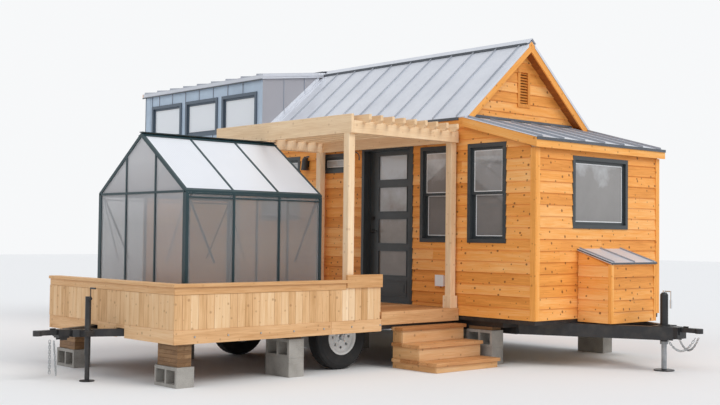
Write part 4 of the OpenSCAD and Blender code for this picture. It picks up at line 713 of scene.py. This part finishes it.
# Edge boards of the roofs, and corner strips
trim, eaveX = [], houseWidth + 0.030
for y, x0, x1 in ((rakeY + 0.010, -0.030, midX - 0.0005), (rakeY + 0.010, eaveX, midX + 0.0005),
                  (tailY + 0.010, eaveX, midX + 0.0005)):
    trim.append(((x0, y, roofUnder(x0)), (x1, y, roofUnder(midX)), (0, 0.010, 0), (0, 0, 0.132)))
trim.append(slopeX(-0.030, midX, tailY + 0.010, dormerTop, -0.060, 0.010, 0.057))
for x, y1 in ((-0.020, dormerY - 0.001), (houseWidth + 0.020, tailY - 0.001)):
    trim.append(alongY(x, rakeY + 0.021, y1, eaveTop - 0.120, 0.010, 0.118))
trim.append(alongX(-0.070, houseWidth + 0.070, -0.060, leanEave - 0.108, 0.010, 0.106))
trim += [slopeY(x, -0.049, rakeY - 0.001, leanUnder, 0, 0.010, 0.1065) for x in (-0.060, houseWidth + 0.060)]
bars("edge_boards", trim, cedarTrim, ["roof_trim"])
cornerItems, cornerLook = [], {"wide": 0.060, "thick": 0.020}
for x, sx in ((0.0, -1), (houseWidth, 1)):
    for y, sy, top in ((0.0, -1, lowTop - 0.02), (backFace, 1, roofUnder(houseWidth) - 0.02)):
        outX, outY = x + sx * cornerLook["thick"], y + sy * cornerLook["thick"]
        cornerItems += [crate((outX, x), (outY, y - sy * cornerLook["wide"]), (wallFoot, top)),
                        crate((x, x - sx * cornerLook["wide"]), (outY, y), (wallFoot, top))]
boards("corner_strips", cornerItems, cedarTrim, "cedar_trim", stands=["corner_boards"])

# Standing seams and edge strips of the dormer's cladding
dormerLook = {"pitch": 0.3935, "firstSeam": 5.632, "seamHalf": 0.005, "seamOut": 0.012}
seamHalf, seamOut = dormerLook["seamHalf"], dormerLook["seamOut"]
winFoot, wallTop = eaveTop + 0.111, dormerTop(0) - 0.062
for name, label, z0, z1 in (("dormer_seams_above", "dormer_rib", winFoot + 0.584, wallTop),
                            ("dormer_seams_below", "dormer_rib_low", eaveTop - 0.10, winFoot - 0.004)):
    rib = oneBeam(label, *upright(0, 0, z0, z1, (0, seamHalf, 0), (-seamOut, 0, 0)))
    rowOf(name, rib, blueSteel, at(0, dormerLook["firstSeam"], 0), 7,
          step=(0, dormerLook["pitch"], 0))
strips = [upright(-0.004, dormerY + y, eaveTop - 0.10, wallTop, (0, 0.022, 0), (-0.006, 0, 0))
          for y in (0.020, 3.108)]
strips.append(upright(-0.001, backFace - 0.0625, eaveTop - 0.05, wallTop, (0, 0.0845, 0), (-0.009, 0, 0)))
strips += [upright(0.012, y, eaveTop - 0.10, wallTop, (0.022, 0, 0), (0, out, 0))
           for y, out in ((dormerY - 0.001, -0.0054), (backFace, 0.018))]
cheek = [upright(x, dormerY, roofTop(x) + 0.02, dormerTop(x) - 0.064, (seamHalf, 0, 0), (0, -seamOut, 0))
         for x in (0.393, 0.786)]
cheek.append(slopeX(0.0, midX - 0.09, dormerY - 0.002, roofTop, 0.015, 0.002, 0.001))
bars("dormer_strips", strips, blueSteel)
bars("cheek_seams", cheek, blueSteel)
bars("cheek_flashing", [slopeX(-0.01, midX - 0.16, dormerY - 0.006, roofTop, sheetTop, 0.003, 0.075),
                        slopeX(-0.03, midX - 0.13, dormerY - 0.060, roofTop, sheetTop, 0.048, 0.008)],
     roofSteel)
print("dormer clad")

# Box on the front wall: lapped boards, corner strips and seams on its lid
boxLow, boxHigh = boxOf("utility_box")
boxFront, boxDrop = boxHigh.z - 0.150, 0.150 / 0.475
lapSiding("box_siding_front", (at(0, boxLow.y, 0), toRight, -toBack), boxLow.z, boxFront - 0.006,
          lambda v: (boxLow.x + 0.030, boxHigh.x - 0.030), [], 21)
for name, x, out in (("box_siding_left", boxLow.x, -toRight), ("box_siding_right", boxHigh.x, toRight)):
    lapSiding(name, (at(x, 0, 0), toBack, out), boxLow.z, boxHigh.z - 0.03,
              lambda v: (max(boxLow.y + 0.030, boxLow.y + (v - boxFront + 0.01) / boxDrop), -0.022), [], 22)
boxStrips, tall = [], (boxLow.z, boxFront - 0.008)
for x, out in ((boxLow.x, -1), (boxHigh.x, 1)):
    boxStrips += [crate((x, x + out * 0.018), (boxLow.y - 0.018, boxLow.y + 0.030), tall),
                  crate((x, x - out * 0.030), (boxLow.y - 0.018, boxLow.y), tall)]
boards("box_strips", boxStrips, cedarTrim, "cedar_trim")
lidLow, lidHigh = boxOf("utility_box_lid")
lidFront = lidHigh.z + lidLow.y * boxDrop
rib = oneBeam("lid_rib", (0, lidLow.y, lidFront), (0, -0.004, lidHigh.z - 0.001), (0.005, 0, 0),
              (0, 0, 0.018))
bars("lid_lips", [alongX(lidLow.x, lidHigh.x, lidLow.y - 0.002, lidFront - 0.022, 0.003, 0.022)]
     + [((x, lidLow.y, lidFront - 0.012), (x, -0.004, lidHigh.z - 0.013), (0.003, 0, 0), (0, 0, 0.014))
        for x in (lidLow.x - 0.002, lidHigh.x + 0.002)], darkTrimAndShadeSteel)
rowOf("lid_seams", rib, shadedSeamSteel, at(lidLow.x + 0.052, 0, 0), 3, step=(0.4025, 0, 0))

# Pale gasket round each pane of the windows
gasketLook = {"wide": 0.011, "proud": 0.002}


def islandBoxes(name):  # the two corners of each separate solid in a CAD node
    bm = bmesh.new()
    bm.from_mesh(nodes[name].data)
    bmesh.ops.remove_doubles(bm, verts=bm.verts, dist=0.0001)
    seen, boxes = set(), []
    for first in bm.verts:
        if first in seen:
            continue
        seen.add(first)
        group = [first]
        for vert in group:  # grows while it is walked
            found = [link.other_vert(vert) for link in vert.link_edges]
            group += [other for other in found if other not in seen]
            seen.update(found)
        boxes.append([Vector(pick(v.co[i] for v in group) for i in range(3)) - at(0, 0, 0)
                      for pick in (min, max)])
    bm.free()
    return sorted(boxes, key=lambda pair: tuple(round(c, 4) for c in pair[0]))


gaskets = []
for low, high in islandBoxes("window_glass"):
    wide = 1 if high.x - low.x < high.y - low.y else 0
    thin = 1 - wide
    for u0, z0, u1, z1 in edging(low[wide], low.z, high[wide], high.z, gasketLook["wide"]):
        sides = {wide: (u0, u1), thin: (low[thin] - gasketLook["proud"], high[thin] + gasketLook["proud"])}
        gaskets.append(crate(sides[0], sides[1], (z0, z1)))
boards("pane_gaskets", gaskets, whitePlastic, "white_plastic", bevel=0)
print("gaskets:", len(gaskets))

# Door: beads round each light, a bead round the panel and a metal threshold
beadLook = {"wide": 0.012, "proud": 0.005, "start": 0.218, "end": 0.740, "inner": 0.096, "outer": 0.140}


def beadBars(y, z0, z1, x, thick):  # four strips round an opening in the plane X = x
    w = beadLook["wide"]
    spans = edging(y + beadLook["start"] - w, z0 - w, y + beadLook["end"] + w, z1 + w, w)
    return [crate((x, x + thick), (a, c), (b, d)) for a, b, c, d in spans]


bench = newBench(31)
for x, thick in ((beadLook["inner"], -beadLook["proud"]), (beadLook["outer"], beadLook["proud"])):
    for low, high in beadBars(0, 0, 0.310, x, thick):
        board(bench, low, high)
rowOf("door_beads", benchMesh(bench, "door_beads"), doorCharcoal,
      at(0, doorY, floorTop + 0.382), 4, step=(0, 0, 0.413), body="door")
panelBead = beadBars(doorY, floorTop + 0.120, floorTop + 0.312, beadLook["inner"], -beadLook["proud"])
boards("door_panel_bead", panelBead, doorCharcoal, "charcoal_frame", bevel=0, body="door")
threshold = (-0.030, doorY + 0.046, floorTop + 0.0255), (0.090, doorY + 0.912, floorTop + 0.029)
boards("threshold_plate", [threshold], zincPlate, "charcoal_frame", bevel=0.001)
print("box and door trimmed")

# Porch sizes in metres, from the frame's boxes
deckLow, deckHigh = boxOf("porch_deck")
plank, eased = 0.019, {"bevel": 0.003}
porchX0, porchX1, deckTop = deckLow.x - plank, deckHigh.x, deckHigh.z
porchY0, porchY1 = deckLow.y - plank, deckHigh.y + plank
planterX1, capTop = boxOf("planter_caps")[1].x, boxOf("planter_caps")[1].z
tallX0 = planterX1 - 0.525
axleX = (boxOf("porch_rim_near")[0].x + boxOf("porch_rim_near")[1].x) / 2
archX, archY = (axleX - 0.287, axleX + 0.287), ((1.349, 1.646), (3.235, 3.532))
deckLook = {"boardWide": 0.1405, "gap": 0.006, "boardHigh": 0.038}

deckItems, y = [], porchY0 + plank
while y < porchY1 - 0.030:
    y1 = min(y + deckLook["boardWide"], porchY1 - plank)
    butt = -2.2 if int(y * 10) % 2 else -1.5
    breaks = (butt, butt + 0.003)
    if any(y < high and y1 > low for low, high in archY):
        breaks = archX
    for x0, x1 in ((porchX0 + plank, breaks[0]), (breaks[1], porchX1)):
        deckItems.append(((x0, y, deckTop - deckLook["boardHigh"]), (x1, y1, deckTop)))
    y = y1 + deckLook["gap"]
for x in (-3.95, -3.55, -3.15, -2.75, -2.35, -1.97, -1.31, -0.91, -0.51, -0.062):
    deckItems.append(((x, porchY0 + 0.021, deckLow.z), (x + 0.040, porchY1 - 0.021, deckTop - 0.0385)))
boards("deck_boards", deckItems, stainPlank, "deck_wood", stands=["porch_deck"])

# Skirt, with a notch for each tongue beam at the far end
skirtLow = boxOf("porch_skirt")[0].z
skirtHigh = skirtLow + 0.137
midY, beamAt, notch = (porchY0 + porchY1) / 2, 0.2751, 0.0825
skirtItems = [((porchX0, porchY0, skirtLow), (-2.02, porchY0 + plank, skirtHigh)),
              ((-2.018, porchY0, skirtLow), (planterX1, porchY0 + plank, skirtHigh)),
              ((planterX1 + 0.002, porchY0, 0.492), (porchX1, porchY0 + plank, deckTop)),
              ((porchX0, porchY1 - plank, skirtLow), (porchX1, porchY1, skirtHigh))]
stops = [porchY0 + 0.0195, midY - beamAt - notch, midY - beamAt + notch, midY + beamAt - notch,
         midY + beamAt + notch, porchY1 - 0.0195]
for k in range(5):
    low = 0.521 if k in (1, 3) else skirtLow
    skirtItems.append(((porchX0, stops[k], low), (porchX0 + plank, stops[k + 1], skirtHigh)))
boards("skirt_boards", skirtItems, skirtPlank, "pine", stands=["porch_skirt"])


def coneMesh(name, sides, foot, tip, long, place):
    bm = bmesh.new()
    bmesh.ops.create_cone(bm, cap_ends=True, segments=sides, radius1=foot, radius2=tip, depth=long,
                          matrix=place)
    return meshFrom(bm, name)


bolt = coneMesh("bolt", 6, 0.011, 0.009, 0.010, Matrix.Rotation(math.pi / 2, 4, "X"))
rowOf("skirt_bolts", bolt, zincPlate, at(porchX0 + 0.22, porchY0 - 0.004, 0.494), 7,
      step=(0.41, 0, 0), play=(0.012, 0, 0.008), seed=6)

# Upright match boards on the planter, nearly each one 90 mm wide, in three rows
facing = {"pitch": 0.0925, "thick": 0.012, "groove": 0.0012, "play": 0.0012}
facingFoot, lowHead, tallHead = skirtHigh + 0.001, capTop - 0.106, capTop - 0.088


def facingRow(name, label, head, along, out, start, count, seed):
    half = facing["pitch"] / 2 - facing["groove"]
    first = oneBeam(label, *upright(0, 0, facingFoot, head, along * half, out * facing["thick"]))
    rowOf(name, first, facingPlank, at(*start, 0), count, step=tuple(along * facing["pitch"]),
          play=tuple(out * facing["play"]), seed=seed)


facingRow("planter_facing", "facing", lowHead, toRight, toBack, (porchX0 + 0.047, porchY0 + 0.006), 23, 8)
facingRow("planter_facing_by_steps", "facing_tall", tallHead, toRight, toBack,
          (tallX0 + 0.176, porchY0 + 0.006), 4, 9)
postFacing = [((tallX0 + x0, porchY0 + y0, facingFoot), (tallX0 + x1, porchY0 + 0.018, head))
              for x0, x1, y0, head in ((-0.0545, -0.0005, 0.006, lowHead), (0.0005, 0.036, 0.006, tallHead),
                                       (0.038, 0.127, 0.004, tallHead))]
boards("facing_at_post", postFacing, pinePlank, "pine")
facingRow("planter_facing_end", "facing_end", lowHead, toBack, toRight, (porchX0 + 0.006, porchY0 + 0.066),
          28, 10)

# Planter walls, rails and cap boards
ghLow, ghHigh = boxOf("greenhouse_frame")
innerX, innerY, innerTop, railTop = ghLow.x - 0.070, ghLow.y - 0.070, capTop - 0.093, capTop - 0.033
wallItems, backX = [], planterX1 - 0.0325
for low, high, top, count in (
        ((porchX0 + plank, porchY0 + plank), (backX, porchY0 + 0.051), railTop, 3),
        ((porchX0 + plank, porchY0 + 0.0515), (porchX0 + 0.051, porchY1 - plank), railTop, 3),
        ((innerX, innerY), (backX, innerY + 0.030), innerTop, 2),
        ((innerX, innerY + 0.0305), (innerX + 0.030, porchY1 - plank), innerTop, 2),
        ((planterX1 - 0.032, porchY0 + plank), (planterX1, innerY + 0.030), railTop, 3)):
    each = (top - deckTop) / count
    wallItems += [((*low, deckTop + 0.0006 + k * each), (*high, deckTop - 0.0006 + (k + 1) * each))
                  for k in range(count)]
boards("planter_boards", wallItems, facingPlank, "pine", stands=["planter_walls"])
boards("planter_rail_boards", [
    ((porchX0, porchY0, railTop - 0.071), (tallX0 - 0.001, porchY0 + plank, railTop)),
    ((porchX0, porchY0 + 0.0195, railTop - 0.071), (porchX0 + plank, porchY1 - 0.001, railTop)),
    ((tallX0, porchY0 - 0.016, capTop - 0.087), (planterX1, porchY0 + plank, capTop + 0.056))],
    capPlank, "pine", stands=["planter_rails"], **eased)
postLow, postHigh = boxOf("pergola_posts")
postX, postY, beamBottom = postLow.x, postLow.y, postHigh.z
boards("planter_cap_boards", [
    ((porchX0 - 0.020, porchY0 - 0.020, railTop), (postX - 0.001, porchY0 + 0.110, capTop)),
    ((porchX0 - 0.020, porchY0 + 0.1105, railTop), (porchX0 + 0.110, porchY1, capTop)),
    ((postX + 0.090, porchY0 + 0.0195, railTop), (planterX1, porchY0 + 0.130, capTop)),
    ((postX - 0.0405, porchY0 + 0.0195, railTop), (postX + 0.0895, postY - 0.0005, capTop))],
    capPlank, "pine", stands=["planter_caps"], **eased)
print("porch and planter boarded")

# Pergola posts and beams as planed timber with eased edges
post = 0.089
farX, farY = porchX1 - 0.115, porchY1 - 0.109
postItems = [((x, y, deckTop), (x + post, y + post, beamBottom))
             for x, y in ((postX, postY), (farX, postY), (ghHigh.x + 0.015, farY), (farX, farY))]
for x0, y0, x1, y1 in ((-0.018, -0.018, 0.107, -0.0005), (-0.018, 0.0895, 0.107, 0.107),
                       (-0.018, 0, -0.0005, post), (0.0895, 0, 0.107, post)):  # collar at the steps
    postItems.append(((farX + x0, postY + y0, deckTop), (farX + x1, postY + y1, deckTop + 0.147)))
boards("porch_posts", postItems, pinePlank, "pine", seed=12, stands=["pergola_posts"], **eased)
beamX1, beamY, beamTop = porchX1 - 0.026, postY - 0.038, beamBottom + 0.140
boards("porch_beams", [
    ((postX + 0.0385, beamY, beamBottom), (beamX1, beamY + post, beamTop)),
    ((postX + 0.0385, porchY1 - post, beamBottom), (beamX1, porchY1, beamTop)),
    ((postX, beamY, beamBottom), (postX + 0.038, porchY1, beamTop + 0.071)),
    ((beamX1 - 0.038, beamY + 0.0895, beamBottom), (beamX1, porchY1 - 0.0895, beamTop))], pinePlank, "pine",
    seed=13, stands=["pergola_beams"], **eased)

# Steps: two or more boards to a tread, one board to a riser
stepLow, stepHigh = boxOf("step_treads")
stepLook = {"rise": 0.177, "run": 0.266, "firstNose": 1.003, "boardWide": 0.140, "gap": 0.004, "thick": 0.030}
treadItems, boxItems = [], []
for k in range(3):
    top, nose = deckTop - stepLook["rise"] * (k + 1), stepLook["firstNose"] - stepLook["run"] * k
    y = nose
    while y < stepHigh.y - 0.02:
        treadItems.append(((stepLow.x, y, top - 0.038),
                           (stepHigh.x, min(y + stepLook["boardWide"], stepHigh.y), top)))
        y += stepLook["boardWide"] + stepLook["gap"]
    x0, x1, y0, foot = stepLow.x + 0.025, stepHigh.x - 0.025, nose + 0.025, max(0.0, top - stepLook["rise"])
    boxItems.append(((x0, y0, foot), (x1, y0 + stepLook["thick"], top - 0.0385)))
    boxItems += [((x, y0 + 0.0305, foot), (x + stepLook["thick"], stepHigh.y, top - 0.0385))
                 for x in (x0, x1 - stepLook["thick"])]
boards("tread_boards", treadItems, stainPlank, "deck_wood", bevel=0.004, seed=14, stands=["step_treads"])
boards("riser_boards", boxItems, riserPlank, "deck_wood", seed=15, stands=["step_boxes"])
print("pergola and steps built")

# Greenhouse: thin diagonal braces inside the sheets and a ridge cap of three lines
braceTop, braceFoot, ridgeZ, braces = 1.90, 1.18, ghHigh.z, []
for x0, x1 in ((-3.365, -3.02), (-1.592, -1.93)):
    braces += [((x0, y, braceTop), (x1, y, braceFoot), (0, 0.0015, 0), (0.022, 0, 0.010))
               for y in (1.926, 3.694)]
for y0, y1 in ((1.930, 2.300), (3.690, 3.320)):
    braces += [((x, y0, braceTop), (x, y1, braceFoot), (0.0015, 0, 0), (0, 0.022, 0.010))
               for x in (-3.362, -1.595)]
bars("greenhouse_braces", braces, greenhouseGreen)
ridgeY = (ghLow.y + ghHigh.y) / 2
bars("greenhouse_ridge", [alongX(ghLow.x - 0.004, ghHigh.x + 0.004, ridgeY, ridgeZ + 0.001, 0.030, 0.009)]
     + [alongX(ghLow.x, ghHigh.x, ridgeY + side, ridgeZ - 0.037, 0.004, 0.012) for side in (-0.052, 0.052)],
     greenhouseGreen)

# Piers of hollow blocks with packing timber between them and the beams
blockLook = {"size": (0.200, 0.400, 0.200), "shell": 0.032, "web": 0.028, "joint": 0.0015, "timber": 0.038}


def hollowBlock(x, y, z, coresUp):
    wide, long, tall = blockLook["size"]
    shell, web, tall = blockLook["shell"], blockLook["web"], tall - blockLook["joint"]
    near, far = (long - web) / 2, (long + web) / 2
    parts = [(0, y0, 0, wide, y1, tall) for y0, y1 in ((0, shell), (long - shell, long), (near, far))]
    for y0, y1 in ((shell, near), (far, long - shell)):
        if coresUp:
            parts += [(0, y0, 0, shell, y1, tall), (wide - shell, y0, 0, wide, y1, tall)]
        else:
            parts += [(0, y0, 0, wide, y1, shell), (0, y0, tall - shell, wide, y1, tall)]
    return [((x + a, y + b, z + c), (x + d, y + e, z + f)) for a, b, c, d, e, f in parts]


stones, packing, blockHigh = [], [], blockLook["size"][2]
pierLow, pierHigh = boxOf("porch_piers")
piers = [(x, y, boxOf("house_piers")[1].z, 0.030) for x in (0.030, houseWidth - 0.230)
         for y in (0.660, 3.000, backFace - 0.900)]
for x, low in ((porchX0 + 0.070, 0.190), (porchX0 + 1.440, 0.0), (porchX1 - 0.420, 0.0)):
    piers += [(x, y, pierHigh.z, low) for y in (pierLow.y, pierHigh.y - 0.400)]
for x, y, top, low in piers:
    count = int((top - low) / blockHigh)
    for k in range(count):
        stones += hollowBlock(x, y, k * blockHigh, k == 0 and count > 1)
    z = count * blockHigh
    layers = max(1, round((top - z) / blockLook["timber"]))
    each = (top - z) / layers
    for k in range(layers):  # each layer lies across the one below it
        z0, z1 = z + k * each, z + (k + 1) * each - 0.001
        if k % 2:
            spans = [(0.020, j, 0.180, j + 0.119) for j in (0.020, 0.140, 0.260)]
        else:
            spans = [(j, 0.020, j + 0.079, 0.380) for j in (0.020, 0.100)]
        packing += [((x + a, y + b, z0), (x + c, y + d, z1)) for a, b, c, d in spans]
boards("pier_blocks", stones, concrete, "concrete", bevel=0, seed=17, stands=["house_piers", "porch_piers"])
boards("packing_timbers", packing, packingPlank, "pine", bevel=0.0015, seed=18)
# painted shadow: thin black strips round the floor's edge below the siding, where shade falls under the house
floorLow, floorHigh = boxOf("floor")
thick = 0.003
edge = edging(floorLow.x - thick, floorLow.y - thick, floorHigh.x + thick, floorHigh.y + thick, thick)
floorShadowStrips = [((x0, y0, floorLow.z - 0.002), (x1, y1, wallFoot - 0.001)) for x0, y0, x1, y1 in edge]
boards("floor_edge_shadow_strip", floorShadowStrips, chassisBlack, "floor_board", bevel=0)

# Wheel nuts, hub caps and tread blocks
wheelLook = {"nuts": 5, "circle": 0.057, "treads": 46, "radius": 0.355, "discX": -0.1025}


def wheelParts():
    onSide = Matrix.Rotation(-math.pi / 2, 4, "Y")
    nutPlace = Matrix.Translation((wheelLook["discX"] + 0.024, 0, wheelLook["circle"])) @ onSide
    capPlace = Matrix.Translation((wheelLook["discX"] + 0.015, 0, 0)) @ onSide
    nut = coneMesh("nut", 6, 0.0115, 0.0115 * 0.85, 0.022, nutPlace)
    cap = coneMesh("cap", 32, 0.036, 0.028, 0.030, capPlace)
    tread = bmesh.new()
    for x, y, turn in ((-0.046, 0.0, 0.25), (0.0, 0.010, -0.25), (0.046, 0.0, 0.25)):
        place = Matrix.Translation((x, y, wheelLook["radius"] + 0.0005)) @ Matrix.Rotation(turn, 4, "Z")
        bmesh.ops.create_cube(tread, size=1.0, matrix=place @ Matrix.Diagonal((0.036, 0.030, 0.005, 1)))
    return nut, cap, meshFrom(tread, "tread")


wheels = []
for word, x, degrees in (("house_left_", 0.0425, 0), ("house_right_", houseWidth - 0.0425, 180)):
    wheels += [(word + str(k + 1), (x, axleY[k], axleZ), degrees, "house") for k in range(2)]
wheels += [("porch_near", (axleX, 1.4975, axleZ), 90, "near_porch_wheel"),
           ("porch_far", (axleX, 3.3835, axleZ), -90, "far_porch_wheel")]
wheelKinds = (("nuts", chromePlate, "white_rim", wheelLook["nuts"]), ("hub_cap", zincPlate, "white_rim", 1),
              ("tread", tyreRubber, "tyre_rubber", wheelLook["treads"]))
for label, centre, degrees, body in wheels:
    axis = (1, 0, 0) if degrees in (0, 180) else (0, 1, 0)
    for mesh, (kind, material, slotName, count) in zip(wheelParts(), wheelKinds):
        mesh.transform(Matrix.Rotation(math.radians(degrees), 4, "Z"))
        turn = tuple(c * 2 * math.pi / count for c in axis)
        rowOf(label + "_" + kind, mesh, material, at(*centre), count, turn=turn, body=body)


# Safety chains that hang under the coupler
chainLook = {"wire": 0.0035, "bend": 0.010, "straight": 0.011, "ringSteps": 12, "wireSteps": 6}


def chain(name, start, end, sag, count):
    bm = bmesh.new()
    steps, sides = chainLook["ringSteps"], chainLook["wireSteps"]
    for k in range(count):
        t = (k + 0.5) / count
        here = start.lerp(end, t) - Vector((0, 0, sag * 4 * t * (1 - t)))
        ahead = (end - start) - Vector((0, 0, sag * 4 * (1 - 2 * t)))
        turned = ahead.to_track_quat("X", "Z").to_matrix().to_4x4()
        place = Matrix.Translation(here) @ turned @ Matrix.Rotation(math.pi / 2 * (k % 2), 4, "X")
        rings = []
        for a in range(steps):
            angle = 2 * math.pi * a / steps
            away = Vector((math.cos(angle), math.sin(angle), 0))
            centre = away * chainLook["bend"] + Vector((math.copysign(chainLook["straight"], away.x), 0, 0))
            ring = [math.cos(b * math.pi / 3) * away + math.sin(b * math.pi / 3) * Vector((0, 0, 1))
                    for b in range(sides)]
            rings.append([bm.verts.new(place @ (centre + chainLook["wire"] * p)) for p in ring])
        for a in range(steps):
            for b in range(sides):
                bm.faces.new((rings[a][b], rings[a - steps + 1][b], rings[a - steps + 1][b - sides + 1],
                              rings[a][b - sides + 1]))
    bmesh.ops.recalc_face_normals(bm, faces=bm.faces)
    finished(meshFrom(bm, name), name, zincPlate)


for side, label in ((-1, "safety_chain_left"), (1, "safety_chain_right")):
    chain(label, at(midX + side * 0.115, -1.01, 0.355), at(midX + side * 0.035, -1.30, 0.40), 0.13, 17)
porchNose = boxOf("porch_frame")[0].x
for shift, label in ((-0.045, "porch_chain_near"), (0.045, "porch_chain_far")):
    chain(label, at(porchNose + 0.200, midY + shift, 0.400), at(porchNose + 0.215, midY + shift * 1.6, 0.070),
          0.0, 13)
print("wheels, braces and chains made")

# Plain finishes of the frame's own pieces
finishes = {
    jackEnamel: ["house_jack"],
    chassisBlack: ["house_beams", "house_tongue", "house_axles", "house_fenders", "porch_frame",
                   "porch_jack", "porch_jack_crank", "plant_hook", "wall_lamp", "door_handle"],
    chromePlate: ["house_jack_crank"],
    tyreRubber: ["house_tyres", "porch_tyre_near", "porch_tyre_far"],
    rimWhite: ["house_rims", "porch_rim_near", "porch_rim_far"],
    innerPine: ["floor", "left_wall_front", "left_wall_over_door", "left_wall_back", "right_wall",
                "back_wall", "lean_to_front_wall", "front_gable"],
    cedarZ: ["utility_box", "gable_vent"], shadedSoffitWood: ["roof_left", "roof_right", "lean_to_roof"],
    roofSteel: ["utility_box_lid", "dormer_roof"], blueSteel: ["dormer_walls"],
    frameCharcoal: ["window_frames", "door_frame"], doorCharcoal: ["entry_door"],
    windowGlass: ["window_glass"], doorGlass: ["door_glass"], whitePlastic: ["outlet_box"],
    stainY: ["porch_fenders"], pineY: ["pergola_rafters"], greenhouseGreen: ["greenhouse_frame"],
    wallSheet: ["greenhouse_walls"], roofSheet: ["greenhouse_roof"],
}
for material, names in finishes.items():
    for name in names:
        dress(name, material)
print("frame dressed")


cameraView = {"place": (-9.713, -7.866, 1.485), "yaw": 42.239, "pitch": 2.008, "roll": 0.615,
              "focalPixels": 1097.9, "axisX": 366.42, "axisY": 197.88, "width": 720, "height": 405}


def placeCamera(view):
    yaw, pitch, roll = (math.radians(view[k]) for k in ("yaw", "pitch", "roll"))
    ahead = Vector((math.cos(pitch) * math.sin(yaw), math.cos(pitch) * math.cos(yaw), math.sin(pitch)))
    right = Vector((math.cos(yaw), -math.sin(yaw), 0))
    above = right.cross(ahead)
    right, above = (math.cos(roll) * right + math.sin(roll) * above,
                    math.cos(roll) * above - math.sin(roll) * right)
    camera = bpy.data.objects.new("camera", bpy.data.cameras.new("camera"))
    bpy.context.collection.objects.link(camera)
    turn = Matrix((right, above, -ahead)).transposed().to_4x4()
    camera.matrix_world = Matrix.Translation(at(*view["place"])) @ turn
    camera.data.sensor_width = 36
    camera.data.lens = 36 * view["focalPixels"] / view["width"]
    camera.data.shift_x = -(view["axisX"] - view["width"] / 2) / view["width"]
    camera.data.shift_y = (view["axisY"] - view["height"] / 2) / view["width"]
    camera.data.clip_end = 200
    bpy.context.scene.camera = camera


placeCamera(cameraView)


def backdrop():
    material = startMaterial("paleFloor", {"Base Color": linear("#EFEFED"), "Roughness": 0.9})[0]
    bm = bmesh.new()
    bmesh.ops.create_grid(bm, x_segments=1, y_segments=1, size=60)
    mesh = meshFrom(bm, "floorPlane")
    mesh.materials.append(material)
    ground = bpy.data.objects.new("stageFloor", mesh)
    bpy.context.collection.objects.link(ground)
    ground.location.z = -0.001
    world = bpy.data.worlds.new("studio")
    world.use_nodes = True
    tree = world.node_tree
    tree.nodes.clear()
    path = addNode(tree, "LightPath").outputs
    seen = calc(tree, "MAXIMUM", path["Is Camera Ray"], path["Is Glossy Ray"])
    through = calc(tree, "MAXIMUM", seen, path["Is Transmission Ray"])
    soft = addNode(tree, "Background", {"Color": linear("#F2F6FF"), "Strength": 0.62}).outputs[0]
    white = addNode(tree, "Background", {"Color": (0.93, 0.94, 0.95, 1)}).outputs[0]
    both = addNode(tree, "MixShader", {0: through, 1: soft, 2: white}).outputs[0]
    addNode(tree, "OutputWorld", {0: both})
    bpy.context.scene.world = world


backdrop()


def lamp(name, energy, aim, angle):
    data = bpy.data.lights.new(name, "SUN")
    data.energy = energy
    data.angle = math.radians(angle)
    made = bpy.data.objects.new(name, data)
    bpy.context.collection.objects.link(made)
    made.rotation_euler = Vector(aim).to_track_quat("-Z", "Y").to_euler()


lamp("softKey", 1.35, (-0.15, 0.75, -0.75), 35)
lamp("softFill", 0.43, (0.9, 0.25, -0.9), 30)
bpy.context.scene.view_settings.view_transform = "Standard"
